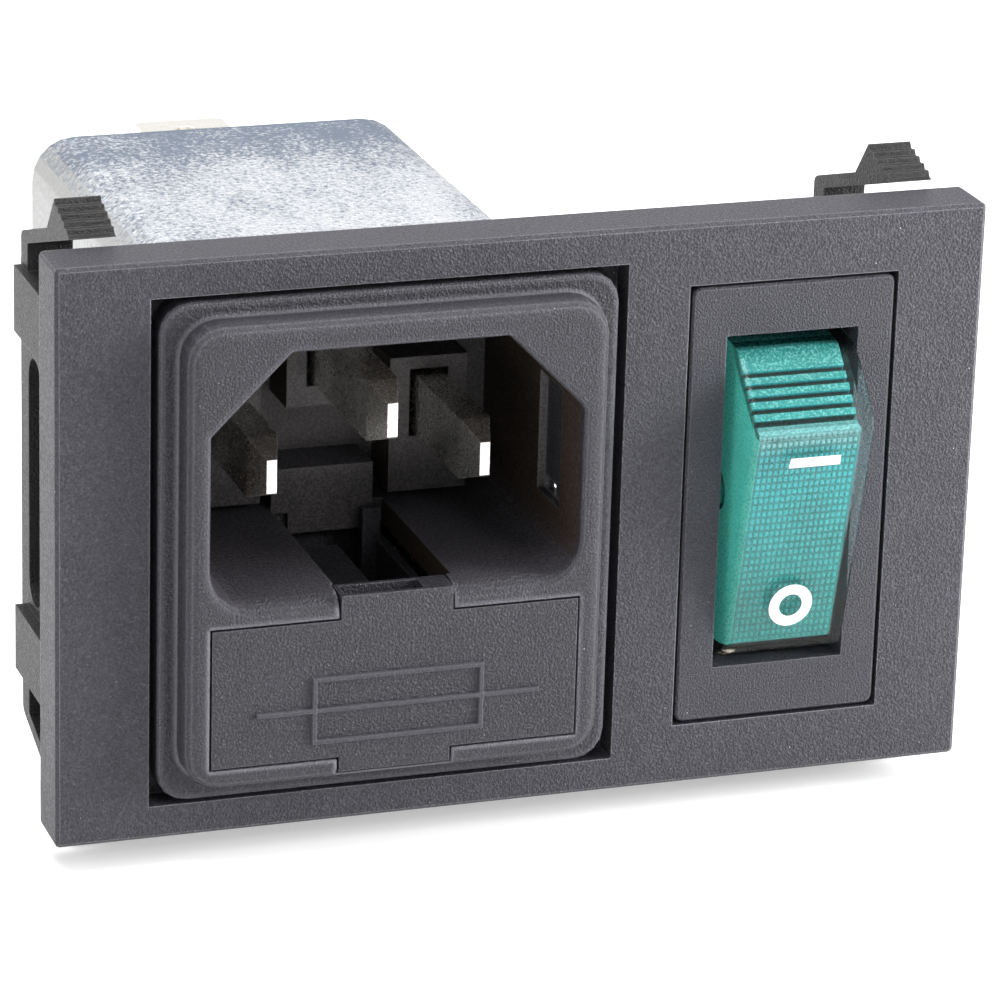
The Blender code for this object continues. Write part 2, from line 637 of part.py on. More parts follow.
def make_housing():
    flange_w = INLET_WINDOW_W - 2 * FLANGE_GAP_SIDE
    flange_h = INLET_WINDOW_H - 2 * FLANGE_GAP_TOP
    boss_w, boss_h = flange_w - 2 * BOSS_MARGIN, flange_h - 2 * BOSS_MARGIN
    housing = rounded_front("inlet_housing", flange_w, flange_h, FLANGE_CORNER, FRONT,
                            FLANGE_BACK, FLANGE_EDGE, FLANGE_Z)
    boss = rounded_front("boss", boss_w, boss_h, BOSS_CORNER, BOSS_FRONT, FLANGE_BACK, BOSS_EDGE)
    body = rectangle(CAN_WIDTH, CAN_HEIGHT, (INLET_X, 0.0), CAN_CORNER, 4)
    neck = offset(body, CAN_WALL + BODY_STEP)
    collar = along_y("collar", [(FLANGE_BACK - 0.5, body), (CAN_FRONT - SHEET_GAP, body)])
    spigot = along_y("spigot", [(FLANGE_BACK, neck), (HOUSING_BACK, neck)])
    low_half = CAN_HEIGHT / 2 - CAN_WALL - BODY_STEP
    bay_block = along_y("bay_block", [(0.0, neck), (LOWER_BACK, neck)])
    bay_trim = block("bay_trim", (INLET_X - CAN_WIDTH, INLET_X + CAN_WIDTH),
                     (HOUSING_BACK - 0.01, LOWER_BACK + 1), (BAY_TOP + REAR_WALL, low_half + 1))
    cut(bay_block, bay_trim)
    snaps = []
    for side in (-1, 1):
        root, tip = CAN_WIDTH / 2 - 0.4, CAN_WIDTH / 2 + SNAP_PROUD
        start = SEAT_GAP - SNAP_POCKET
        wedge = [(root, start), (tip, start), (tip, start + 0.5), (root, start + SNAP_DEPTH)]
        rings = []
        for z in (SNAP_LOW, SNAP_HIGH):
            rings.append([(INLET_X + side * x, y, z) for x, y in wedge])
        snaps.append(loft(f"snap_{side}", rings))
    join(housing, boss, collar, spigot, bay_block, *snaps)

    sections = [(BOSS_FRONT - 1, cavity_outline(MOUTH_EDGE, FLOOR_EDGE))]
    for i in range(6):
        angle = math.radians(18 * i)
        depth = FLOOR_EDGE * (1 - math.cos(angle))
        near = max(0.0, 1 - depth / MOUTH_EDGE)
        grow = MOUTH_EDGE * (1 - math.sqrt(1 - near * near))
        sections.append((BOSS_FRONT + depth, cavity_outline(grow, FLOOR_EDGE * (1 - math.sin(angle)))))
    sections.append((CAVITY_BACK + BACK_POCKET, cavity_outline()))
    cavity = along_y("cavity", sections)
    pad_y = (CAVITY_BACK, CAVITY_BACK + BACK_POCKET + 1)
    earth_low = PIN_Z + EARTH_RISE - PIN_TALL / 2 - EARTH_PAD_DROP
    live_top = PIN_Z + PIN_TALL / 2 + LIVE_PAD_RISE
    pads = [
        block("earth_pad", (INLET_X - PAD_HALF, INLET_X + PAD_HALF), pad_y, (earth_low, CAVITY_TOP + 1)),
        block("step_pad", (INLET_X - PIT_LEFT, INLET_X + STEP_RIGHT), pad_y, (CAVITY_FLOOR - 1, STEP_TOP)),
    ]
    for side in (-1, 1):
        x = INLET_X + side * PIN_PITCH / 2
        pads.append(block(f"live_pad_{side}", (x - PAD_HALF, x + PAD_HALF), pad_y, (LIVE_PAD_LOW, live_top)))
    cut(cavity, *pads)

    face_hole = along_y("face_hole", [(BOSS_FRONT - 1, drawer_face_outline(FACE_GAP)),
                                      (FACE_BACK + FACE_GAP, drawer_face_outline(FACE_GAP))])
    bay_shape = tray_outline(TRAY_GAP)
    bay = along_y("bay", [(FACE_BACK, bay_shape), (BAY_BACK, bay_shape)])
    pit = block("floor_pit", (INLET_X - PIT_LEFT, INLET_X + PIT_RIGHT), (FACE_BACK, PIT_BACK),
                (BAY_TOP - 1, CAVITY_FLOOR + 1))
    cut(pit,
        block("step_face", (INLET_X - PIT_LEFT - 1, INLET_X + STEP_RIGHT), (CAVITY_BACK, PIT_BACK + 1),
              (CAVITY_FLOOR - TOE_DROP, CAVITY_FLOOR + 2)),
        block("step_foot", (INLET_X - PIT_LEFT + STEP_TOE, INLET_X + STEP_RIGHT), (CAVITY_BACK, PIT_BACK + 1),
              (BAY_TOP - 2, CAVITY_FLOOR)))
    slots = []
    for name, x, z in pin_places():
        wide, tall = PIN_WIDE + 2 * PIN_SLOT_GAP, PIN_TALL + 2 * PIN_SLOT_GAP
        outline = pin_outline(x, z, wide, tall)
        slots.append(along_y(name + "_slot", [(CAVITY_BACK - 1, outline), (HOUSING_BACK + 1, outline)]))
    recesses = []
    for side in (-1, 1):
        reach = CAVITY_WIDTH / 2 + RECESS_DEPTH
        spans = sorted((INLET_X + side * (CAVITY_WIDTH / 2 - 1), INLET_X + side * reach))
        recesses.append(block(f"recess_{side}", spans, (FLANGE_BACK + 0.4, SEAT_GAP + SNAP_DEPTH * 0.6),
                              (SNAP_LOW - RECESS_MARGIN, SNAP_HIGH + RECESS_MARGIN)))
    window = block("side_window", (INLET_X + CAVITY_WIDTH / 2 - 1, INLET_X + CAN_WIDTH / 2 + 1),
                   (WINDOW_START, SEAT_GAP + SNAP_DEPTH / 2), (SNAP_LOW - RECESS_MARGIN * 0.9, WINDOW_HIGH))
    cut(housing, cavity, face_hole, bay, pit, *slots, *recesses, window)
    return dress(housing, CHARCOAL, 0.5)


def pin_places():
    live = PIN_PITCH / 2
    return [
        ("line_pin", INLET_X - live, PIN_Z),
        ("neutral_pin", INLET_X + live, PIN_Z),
        ("earth_pin", INLET_X, PIN_Z + EARTH_RISE),
    ]


def make_pins():
    pins = []
    for name, x, z in pin_places():
        tip = EARTH_TIP_Y if name == "earth_pin" else LIVE_TIP_Y
        full = pin_outline(x, z, PIN_WIDE, PIN_TALL)
        tail = pin_outline(x, z, BLADE_THICK, PIN_TALL * 0.6)
        sections = [
            (tip, pin_outline(x, z, PIN_TIP_WIDE, PIN_TIP_TALL)),
            (tip + PIN_TAPER, full),
            (HOUSING_BACK + 1.2, full),
            (HOUSING_BACK + 1.2, tail),
            (BOARD_BACK, tail),
        ]
        pins.append(dress(along_y(name, sections), TINNED, 0.22, 1.0))
    return pins


# Fuse drawer

def make_drawer():
    face = drawer_face_outline()
    drawer = along_y("fuse_drawer", [(BOSS_FRONT, face), (FACE_BACK, face)])
    tray = along_y("tray", [(FACE_BACK - 0.5, tray_outline()), (TRAY_BACK, tray_outline())])
    tab_pocket = block("tab_pocket",
                       (INLET_X - TAB_WIDTH / 2 + TAB_POCKET_WALL, INLET_X + TAB_POCKET_RIGHT),
                       (BOSS_FRONT + TAB_POCKET_WALL, FACE_BACK - TAB_POCKET_WALL),
                       (TAB_TOP - TAB_POCKET_DEPTH, TAB_TOP + 1))
    troughs = []
    notches = []
    for side in (-1, 1):
        x = INLET_X + side * FUSE_PITCH / 2
        radius = FUSE_RADIUS + FUSE_GAP
        shape = arc((x, FUSE_Z), radius, 180, 360, 10)
        shape += [(x + radius, TRAY_TOP + 1), (x - radius, TRAY_TOP + 1)]
        start, end = FUSE_FRONT - FUSE_GAP, FUSE_BACK + FUSE_GAP
        troughs.append(along_y(f"trough_{side}", [(start, shape), (end, shape)]))
        notches.append(block(f"notch_{side}", (x - radius, x + radius),
                             (end - 0.5, TRAY_BACK + 1), (FUSE_Z + FUSE_RADIUS * 0.7, TRAY_TOP + 1)))
    web_half = FUSE_PITCH / 2 - FUSE_RADIUS - FUSE_GAP - WEB_WALL
    web_back = FUSE_BACK - FUSE_CAP
    web_cuts = [
        block("web_side_cut", (INLET_X + WEB_RIGHT, INLET_X + web_half), (FUSE_FRONT, web_back),
              (FUSE_Z, TRAY_TOP + 1)),
        block("web_back_cut", (INLET_X - web_half, INLET_X + WEB_RIGHT + 0.5), (WEB_END, web_back - 0.5),
              (FUSE_Z + 0.2, TRAY_TOP + 1)),
    ]
    post = block("post", (INLET_X + POST_LEFT, INLET_X + web_half + WEB_WALL / 2),
                 (POST_START, POST_START + POST_THICK), (FUSE_Z - 0.5, TAB_TOP))
    cut(tray, *troughs, *notches, *web_cuts)
    join(drawer, tray, post)
    cut(drawer, tab_pocket)
    return dress(drawer, CHARCOAL, 0.5)


def make_fuses():
    """Two fuses side by side: a glass tube, a cap on each end and the wire between."""
    parts = []
    for side, name in ((-1, "line"), (1, "neutral")):
        centre = (INLET_X + side * FUSE_PITCH / 2, 0.0, FUSE_Z)
        inner = FUSE_RADIUS - FUSE_CAP_WALL
        tube = inner - 0.05
        bore = tube - GLASS_WALL
        low, high = FUSE_FRONT + 0.3, FUSE_BACK - 0.3
        glass = turned(name + "_fuse_glass", centre,
                       [(low, bore), (low, tube), (high, tube), (high, bore)], closed=True)
        parts.append(dress(glass, (0.90, 0.95, 0.95), 0.03, 0.0, 1.0))
        for end, start, toward in (("front", FUSE_FRONT, 1), ("rear", FUSE_BACK, -1)):
            lip = start + toward * FUSE_CAP
            floor = start + toward * 0.25
            profile = [(floor, inner), (lip, inner), (lip, FUSE_RADIUS),
                       (start + toward * 0.3, FUSE_RADIUS), (start, FUSE_RADIUS - 0.3)]
            cap = turned(f"{name}_fuse_{end}_cap", centre, profile)
            parts.append(dress(cap, (0.82, 0.81, 0.78), 0.2, 1.0))
        wire = turned(name + "_fuse_wire", centre, [(low, 0.12), (high, 0.12)], sides=6)
        parts.append(dress(wire, COPPER, 0.3, 1.0))
    return parts


def make_fuse_contacts():
    """Bowed leaves on the roof of the fuse bay, which press on the caps from above."""
    leaves = []
    roof = BAY_TOP - SHEET_GAP
    sag = roof - LEAF_THICK - (FUSE_Z + FUSE_RADIUS + SHEET_GAP)
    for side, name in ((-1, "line"), (1, "neutral")):
        x = INLET_X + side * FUSE_PITCH / 2
        for end, y in (("front", FUSE_FRONT + FUSE_CAP / 2), ("rear", FUSE_BACK - FUSE_CAP / 2)):
            lower, upper = [], []
            for i in range(9):
                t = i / 8
                drop = sag * math.sin(math.pi * t) ** 2
                along = y + LEAF_LENGTH * (t - 0.5)
                lower.append((along, roof - LEAF_THICK - drop))
                upper.append((along, roof - drop))
            outline = lower + upper[::-1]
            leaf = along_x(f"{name}_{end}_contact", outline, x - LEAF_WIDTH / 2, x + LEAF_WIDTH / 2)
            leaves.append(dress(leaf, (0.78, 0.62, 0.35), 0.3, 1.0))
    return leaves


# Filter

def make_can():
    outer = rectangle(CAN_WIDTH, CAN_HEIGHT, (INLET_X, 0.0), CAN_CORNER, 5)
    inner = offset(outer, CAN_WALL)
    sections = [(CAN_INNER_BACK, offset(inner, CAN_END_EDGE)), (CAN_INNER_BACK - CAN_END_EDGE, inner),
                (CAN_FRONT, inner), (CAN_FRONT, outer)]
    for i in range(4):
        angle = math.radians(90 * i / 3)
        inset = CAN_END_EDGE * (1 - math.cos(angle))
        back = CAN_REAR - CAN_END_EDGE * (1 - math.sin(angle))
        sections.append((back, offset(outer, inset) if inset else outer))
    can = along_y("filter_can", sections)
    hole = rectangle(BUSH_WIDTH - 2 * BUSH_LIP + 2 * SHEET_GAP, BUSH_HEIGHT - 2 * BUSH_LIP + 2 * SHEET_GAP,
                     (INLET_X, TERMINAL_Z), 0.8, 2)
    window = along_y("bush_window", [(CAN_INNER_BACK - 1, hole), (CAN_REAR + 1, hole)])
    rivet_hole = turned("rivet_hole", (EARTH_X, 0.0, rivet_z()),
                        [(CAN_INNER_BACK - 1, RIVET_SHANK + SHEET_GAP),
                         (CAN_REAR + 1, RIVET_SHANK + SHEET_GAP)], sides=12)
    cut(can, window, rivet_hole)
    return dress(can, ZINC, 0.38, 1.0)


def rivet_z():
    return EARTH_BLADE_Z - EARTH_FOOT_DROP / 2 - 0.4


def blade(name, x, z, start, end, upright, width=BLADE_WIDTH, chamfer=BLADE_CHAMFER):
    """A flat terminal blade along Y with a chamfered end; upright turns it on edge."""
    half = width / 2
    thick = BLADE_THICK / 2
    plan = [(start, -half), (end - chamfer, -half), (end, -half + chamfer), (end, half - chamfer),
            (end - chamfer, half), (start, half)]
    rings = []
    for level in (-thick, thick):
        ring = []
        for y, across in plan:
            ring.append((x + level, y, z + across) if upright else (x + across, y, z + level))
        rings.append(ring)
    made = loft(name, rings)
    axis = "X" if upright else "Z"
    cut(made, turned(name + "_eye", (x, end - 2.6, z), [(-1.5, BLADE_HOLE), (1.5, BLADE_HOLE)], axis, 10))
    return made


def make_terminals():
    bush_y = CAN_REAR + SHEET_GAP
    flange = rectangle(BUSH_WIDTH, BUSH_HEIGHT, (INLET_X, TERMINAL_Z), 1.2, 3)
    neck = rectangle(BUSH_WIDTH - 2 * BUSH_LIP, BUSH_HEIGHT - 2 * BUSH_LIP,
                     (INLET_X, TERMINAL_Z), 0.7, 3)
    bush = along_y("terminal_bush", [(CAN_INNER_BACK - 1.6, neck), (bush_y, neck), (bush_y, flange),
                                     (bush_y + BUSH_PROUD - 0.3, flange),
                                     (bush_y + BUSH_PROUD, offset(flange, 0.3))])
    slots = []
    parts = []
    for side, name in ((-1, "line"), (1, "neutral")):
        x = INLET_X + side * TERMINAL_PITCH / 2
        shape = rectangle(BLADE_THICK + 2 * SHEET_GAP, BLADE_WIDTH + 2 * SHEET_GAP, (x, TERMINAL_Z))
        slots.append(along_y(name + "_blade_slot", [(CAN_INNER_BACK - 3, shape), (bush_y + 3, shape)]))
        made = blade(name + "_blade", x, TERMINAL_Z, CAN_INNER_BACK - 2.2, CAN_REAR + BLADE_REACH + 1, True)
        parts.append(dress(made, TINNED, 0.25, 1.0))
    cut(bush, *slots)
    parts.insert(0, dress(bush, (0.045, 0.045, 0.05), 0.45))

    foot_y = CAN_REAR + SHEET_GAP
    earth = blade("earth_blade", EARTH_X, EARTH_BLADE_Z, foot_y, CAN_REAR + EARTH_REACH, False,
                  chamfer=EARTH_CHAMFER)
    foot = block("earth_foot", (EARTH_X - BLADE_WIDTH / 2, EARTH_X + BLADE_WIDTH / 2),
                 (foot_y, foot_y + BLADE_THICK), (EARTH_BLADE_Z - EARTH_FOOT_DROP, EARTH_BLADE_Z))
    eye = turned("earth_foot_eye", (EARTH_X, 0.0, rivet_z()),
                 [(foot_y - 1, RIVET_SHANK + SHEET_GAP), (foot_y + 2, RIVET_SHANK + SHEET_GAP)], sides=12)
    join(earth, foot)
    cut(earth, eye)
    parts.append(dress(earth, TINNED, 0.25, 1.0))

    inside = CAN_INNER_BACK - SHEET_GAP
    outside = foot_y + BLADE_THICK + SHEET_GAP
    profile = [(inside - 0.6, RIVET_HEAD * 0.8), (inside, RIVET_HEAD), (inside, RIVET_SHANK),
               (outside, RIVET_SHANK), (outside, RIVET_HEAD), (outside + 0.5, RIVET_HEAD * 0.85),
               (outside + 0.8, RIVET_HEAD * 0.4)]
    rivet = turned("earth_rivet", (EARTH_X, 0.0, rivet_z()), profile, sides=12)
    parts.append(dress(rivet, TINNED, 0.3, 1.0))
    return parts


def winding(name, side):
    """A coil round half of the choke's ring, its turns standing out as ribs."""
    rings_out, rings_in = [], []
    steps = WINDING_TURNS * 2
    for i in range(steps + 1):
        angle = math.radians(WINDING_SWEEP * (i / steps - 0.5))
        direction = (side * math.cos(angle), math.sin(angle))
        swell = WINDING_THICK * (1.0 if i % 2 else 0.72)
        for rings, grow in ((rings_out, swell), (rings_in, 0.12)):
            low, high = CHOKE_INNER - grow, CHOKE_OUTER + grow
            depth = CHOKE_THICK / 2 + grow
            ring = []
            for radius, y in ((low, -depth), (high, -depth), (high, depth), (low, depth)):
                ring.append((INLET_X + radius * direction[0], CHOKE_Y + y,
                             CHOKE_Z + radius * direction[1]))
            rings.append(ring)
    return dress(loft(name, rings_out + rings_in[::-1], closed=True), COPPER, 0.35, 0.6)


def make_filter_parts():
    inner = rectangle(CAN_WIDTH, CAN_HEIGHT, (INLET_X, 0.0), CAN_CORNER, 3)
    board_shape = offset(inner, CAN_WALL + BOARD_INSET)
    board = along_y("filter_board", [(BOARD_FRONT, board_shape), (BOARD_BACK, board_shape)])
    holes = []
    for name, x, z in pin_places():
        shape = pin_outline(x, z, BLADE_THICK + 0.5, PIN_TALL * 0.6 + 0.5)
        holes.append(along_y(name + "_board_hole", [(BOARD_FRONT - 1, shape), (BOARD_BACK + 1, shape)]))
    cut(board, *holes)
    parts = [dress(board, (0.10, 0.22, 0.08), 0.5)]

    core = turned("choke_core", (INLET_X, CHOKE_Y, CHOKE_Z),
                  [(-CHOKE_THICK / 2, CHOKE_INNER), (-CHOKE_THICK / 2, CHOKE_OUTER),
                   (CHOKE_THICK / 2, CHOKE_OUTER), (CHOKE_THICK / 2, CHOKE_INNER)],
                  sides=28, closed=True)
    parts.append(dress(core, (0.10, 0.10, 0.11), 0.6))
    parts.append(winding("line_winding", -1))
    parts.append(winding("neutral_winding", 1))

    wide, deep, tall = X_CAP
    x_cap = block("x_capacitor", (INLET_X - wide / 2, INLET_X + wide / 2),
                  (PART_FRONT, PART_FRONT + deep), (X_CAP_Z - tall / 2, X_CAP_Z + tall / 2))
    round_edges(x_cap, 0.4)
    parts.append(dress(x_cap, (0.75, 0.62, 0.10), 0.4))
    for side, name in ((-1, "line"), (1, "neutral")):
        profile = [(0.0, Y_CAP_RADIUS * 0.75), (Y_CAP_THICK * 0.3, Y_CAP_RADIUS),
                   (Y_CAP_THICK * 0.7, Y_CAP_RADIUS), (Y_CAP_THICK, Y_CAP_RADIUS * 0.75)]
        disc = turned(name + "_y_capacitor", (INLET_X + side * Y_CAP_X, PART_FRONT, Y_CAP_Z),
                      profile, sides=14)
        parts.append(dress(disc, (0.15, 0.30, 0.60), 0.4))
    back = PART_FRONT + deep + SHEET_GAP + RESISTOR_RADIUS
    half = RESISTOR_LENGTH / 2
    profile = [(-half, RESISTOR_RADIUS * 0.7), (-half * 0.9, RESISTOR_RADIUS), (-half * 0.6, RESISTOR_RADIUS),
               (-half * 0.5, RESISTOR_RADIUS * 0.85), (half * 0.5, RESISTOR_RADIUS * 0.85),
               (half * 0.6, RESISTOR_RADIUS), (half * 0.9, RESISTOR_RADIUS), (half, RESISTOR_RADIUS * 0.7)]
    resistor = turned("bleed_resistor", (INLET_X, back, X_CAP_Z), profile, "X", 12)
    parts.append(dress(resistor, (0.70, 0.58, 0.38), 0.5))
    return parts


# Switch

def make_insert():
    """The switch's moulding: the face in the window, with the open-backed body behind it."""
    width, height = SWITCH_WINDOW_W - 2 * INSERT_GAP, SWITCH_WINDOW_H - 2 * INSERT_GAP
    face = rectangle(width, height, (SWITCH_X, 0.0), INSERT_CORNER, 2)
    insert = along_y("switch_insert", [(FRONT, offset(face, 0.15)), (FRONT + 0.15, face), (FLANGE_BACK, face)])
    shell = rectangle(SWITCH_BODY_W, SWITCH_BODY_H, (SWITCH_X, 0.0), 0.5, 2)
    hollow = rectangle(SWITCH_BODY_W - 2 * SWITCH_WALL, SWITCH_BODY_H - 2 * SWITCH_WALL, (SWITCH_X, 0.0))
    body = along_y("switch_shell", [(FLANGE_BACK - 0.5, shell), (SWITCH_BODY_DEPTH, shell)])
    room = along_y("switch_room", [(FLANGE_BACK, hollow), (SWITCH_BODY_DEPTH + 1, hollow)])
    opening = rectangle(OPENING_WIDTH, OPENING_HEIGHT, (SWITCH_X, OPENING_Z))
    mouth = along_y("switch_mouth", [(FRONT - 1, opening), (FLANGE_BACK + 0.5, opening)])
    reach = SWITCH_BODY_W / 2 - SWITCH_WALL * 0.3
    bearing = turned("pivot_bearing", (SWITCH_X, PIVOT_Y, OPENING_Z),
                     [(-reach, PIVOT_RADIUS + PIVOT_GAP), (reach, PIVOT_RADIUS + PIVOT_GAP)], "X", 20)
    snaps = []
    for side in (-1, 1):
        start = SWITCH_X + side * (SWITCH_BODY_W / 2 - 0.3)
        tip = SWITCH_X + side * (SWITCH_BODY_W / 2 + INSERT_SNAP_PROUD)
        front = SEAT_GAP - SNAP_POCKET
        outline = [(start, front), (tip, front), (tip, front + 0.4), (start, front + 2.6)]
        for up in (-1, 1):
            rings = [[(x, y, up * SWITCH_BODY_H / 4 + z) for x, y in outline]
                     for z in (-INSERT_SNAP_HALF, INSERT_SNAP_HALF)]
            snaps.append(loft(f"insert_snap_{side}_{up}", rings))
    join(insert, body, *snaps)
    cut(insert, room, mouth, bearing)
    return dress(insert, CHARCOAL, 0.5)


def switch_tab_places():
    """Name, x and z of the four switch terminals: a pair for each pole."""
    places = []
    for side, pole in ((-1, "line"), (1, "neutral")):
        x = SWITCH_X + side * SWITCH_TAB_PITCH / 2
        places.append((f"{pole}_feed_tab", x, OPENING_Z))
        places.append((f"{pole}_load_tab", x, OPENING_Z - SWITCH_TAB_DROP))
    return places


def make_switch_base():
    """The lid on the switch's back, and the four blades that it holds."""
    back = BASE_FRONT + BASE_THICK
    lid = rectangle(SWITCH_BODY_W, SWITCH_BODY_H, (SWITCH_X, 0.0), 0.5, 2)
    base = along_y("switch_base", [(BASE_FRONT, lid), (back - 0.3, lid), (back, offset(lid, 0.3))])
    inset = 2 * (SWITCH_WALL + SHEET_GAP)
    plug_shape = rectangle(SWITCH_BODY_W - inset, SWITCH_BODY_H - inset, (SWITCH_X, 0.0))
    join(base, along_y("base_plug", [(BASE_FRONT - 1.0, plug_shape), (BASE_FRONT + 0.5, plug_shape)]))
    parts = []
    for name, x, z in switch_tab_places():
        shape = rectangle(BLADE_THICK + 2 * SHEET_GAP, SWITCH_TAB_WIDTH + 2 * SHEET_GAP, (x, z))
        cut(base, along_y(name + "_slot", [(BASE_FRONT - 3, shape), (back + 1, shape)]))
        reach = z - OPENING_Z
        start = BAR_PIVOT_Y + BAR_THICK / 2 - reach * math.tan(math.radians(BAR_TILT)) + SHEET_GAP
        tab = blade(name, x, z, start + 0.6, back + SWITCH_TAB_REACH, True, SWITCH_TAB_WIDTH)
        profile = [(start, STUD_RADIUS * 0.5), (start + 0.3, STUD_RADIUS), (start + 1.2, STUD_RADIUS)]
        join(tab, turned(name + "_stud", (x, 0.0, z), profile, sides=10))
        parts.append(dress(tab, (0.80, 0.70, 0.50), 0.28, 1.0))
    return [dress(base, (0.05, 0.05, 0.055), 0.45)] + parts


def make_contact_bars():
    """Rocking bars, one a pole, each on the saddle of its feed tab, at rest with the contact open."""
    bars = []
    half, thick = BAR_LENGTH / 2, BAR_THICK / 2
    for side, pole in ((-1, "line"), (1, "neutral")):
        x = SWITCH_X + side * SWITCH_TAB_PITCH / 2
        outline = [(-thick, -half), (thick, -half), (thick, half), (-thick, half)]
        bar = along_x(f"{pole}_contact_bar", outline, -CONTACT_BAR_W / 2, CONTACT_BAR_W / 2)
        bar.location = (x * MM, BAR_PIVOT_Y * MM, OPENING_Z * MM)
        bar.rotation_euler = (math.radians(-BAR_TILT), 0.0, 0.0)
        bars.append(dress(bar, (0.80, 0.52, 0.32), 0.3, 1.0))
    return bars


def rocker_outline(inset=0.0, tail=False, sink=0.0):
    """The rocker's side view as (y, z), moved in by the inset; the tail opens it far to the rear.

    The sink moves the grip's slope in further than the rest.
    """
    pivot_y, pivot_z = PIVOT
    top = math.degrees(math.asin((ROCKER_TOP_Y - pivot_y) / SKIRT_RADIUS))
    heel = math.degrees(math.asin((ROCKER_HEEL_Y - pivot_y) / SKIRT_RADIUS))
    inner = math.degrees(math.asin(SKIRT_DEPTH / SKIRT_RADIUS))
    upper = arc(PIVOT, SKIRT_RADIUS, 90 - inner, 90 - top, 5)
    lower = arc(PIVOT, SKIRT_RADIUS, 270 + heel, 270 + inner, 5)
    points = [(pivot_y + TAIL_REACH, upper[0][1])] + upper + ROCKER_GRIP + ROCKER_FOOT + lower
    points.append((pivot_y + TAIL_REACH, lower[-1][1]))
    if inset:
        points = offset(points, inset)
    slope = grip_angle()
    for i in range(GRIP_START, GRIP_START + len(ROCKER_GRIP) - 1):
        y, z = points[i]
        points[i] = (y - sink * math.sin(slope), z + sink * math.cos(slope))
    return points if tail else points[1:-1]


def grip_angle():
    """The direction of the grip's slope, from its top to its foot."""
    (top_y, top_z), (low_y, low_z) = ROCKER_GRIP[0], ROCKER_GRIP[-2]
    return math.atan2(low_z - top_z, low_y - top_y)


def grip_grooves(outline, half):
    """Cutters for the grooves across the top of the lens, spread evenly over its slope."""
    cutters = []
    angle = grip_angle()
    path = outline[GRIP_START - 1:GRIP_START + len(ROCKER_GRIP) - 2]
    for i in range(GRIP_GROOVES):
        share = (i + 0.5) / GRIP_GROOVES
        y, z = point_on(path, share)
        shape = []
        for along, deep in ((-0.5, 0.0), (-0.25, -1.0), (0.25, -1.0), (0.5, 0.0), (0.5, 1.5), (-0.5, 1.5)):
            u, v = along * GROOVE_WIDTH, deep * GROOVE_DEPTH
            shape.append((y + u * math.cos(angle) + v * math.sin(angle),
                          z + u * math.sin(angle) - v * math.cos(angle)))
        cutters.append(along_x(f"grip_groove_{i}", shape, SWITCH_X - half, SWITCH_X + half))
    return cutters


def point_on(path, share):
    """The point a given share of the way along a path."""
    lengths = [math.dist(a, b) for a, b in zip(path, path[1:])]
    left = share * sum(lengths)
    for (a, b), length in zip(zip(path, path[1:]), lengths):
        if left <= length:
            t = left / length
            return a[0] + (b[0] - a[0]) * t, a[1] + (b[1] - a[1]) * t
        left -= length
    return path[-1]


def make_rocker():
    """The clear cover over the green lens; both are slotted from behind to pass the axle."""
    half = OPENING_WIDTH / 2 - ROCKER_SIDE_GAP
    inner_half = half - COVER_WALL
    lens_half = inner_half - LENS_GAP
    room_half = lens_half - LENS_WALL
    cover = along_x("rocker_cover", rocker_outline(), SWITCH_X - half, SWITCH_X + half)
    round_edges(cover, COVER_EDGE, 3, 50)
    hollow = along_x("cover_hollow", rocker_outline(COVER_WALL, True), SWITCH_X - inner_half, SWITCH_X + inner_half)
    lens_inset = COVER_WALL + LENS_GAP
    lens_side = rocker_outline(lens_inset, sink=GRIP_SINK)
    lens = along_x("rocker_lens", lens_side, SWITCH_X - lens_half, SWITCH_X + lens_half)
    room = along_x("lens_room", rocker_outline(lens_inset + LENS_WALL, True, GRIP_SINK),
                   SWITCH_X - room_half, SWITCH_X + room_half)
    notch_radius = PIVOT_RADIUS + SHEET_GAP
    notch_shape = arc(PIVOT, notch_radius, 90, 270, 8)
    notch_end = PIVOT_Y + NOTCH_REACH
    notch_shape += [(notch_end, OPENING_Z - notch_radius), (notch_end, OPENING_Z + notch_radius)]
    notch = along_x("axle_notch", notch_shape, SWITCH_X - half - 1, SWITCH_X + half + 1)
    cut(cover, hollow, notch)
    cut(lens, room, notch, *grip_grooves(lens_side, lens_half + 1))
    dress(cover, (0.9, 0.95, 0.93), 0.05, 0.0, 1.0)
    dress(lens, GREEN, 0.25)
    return [cover, lens] + make_carrier(half, room_half - SHEET_GAP) + make_lamp()


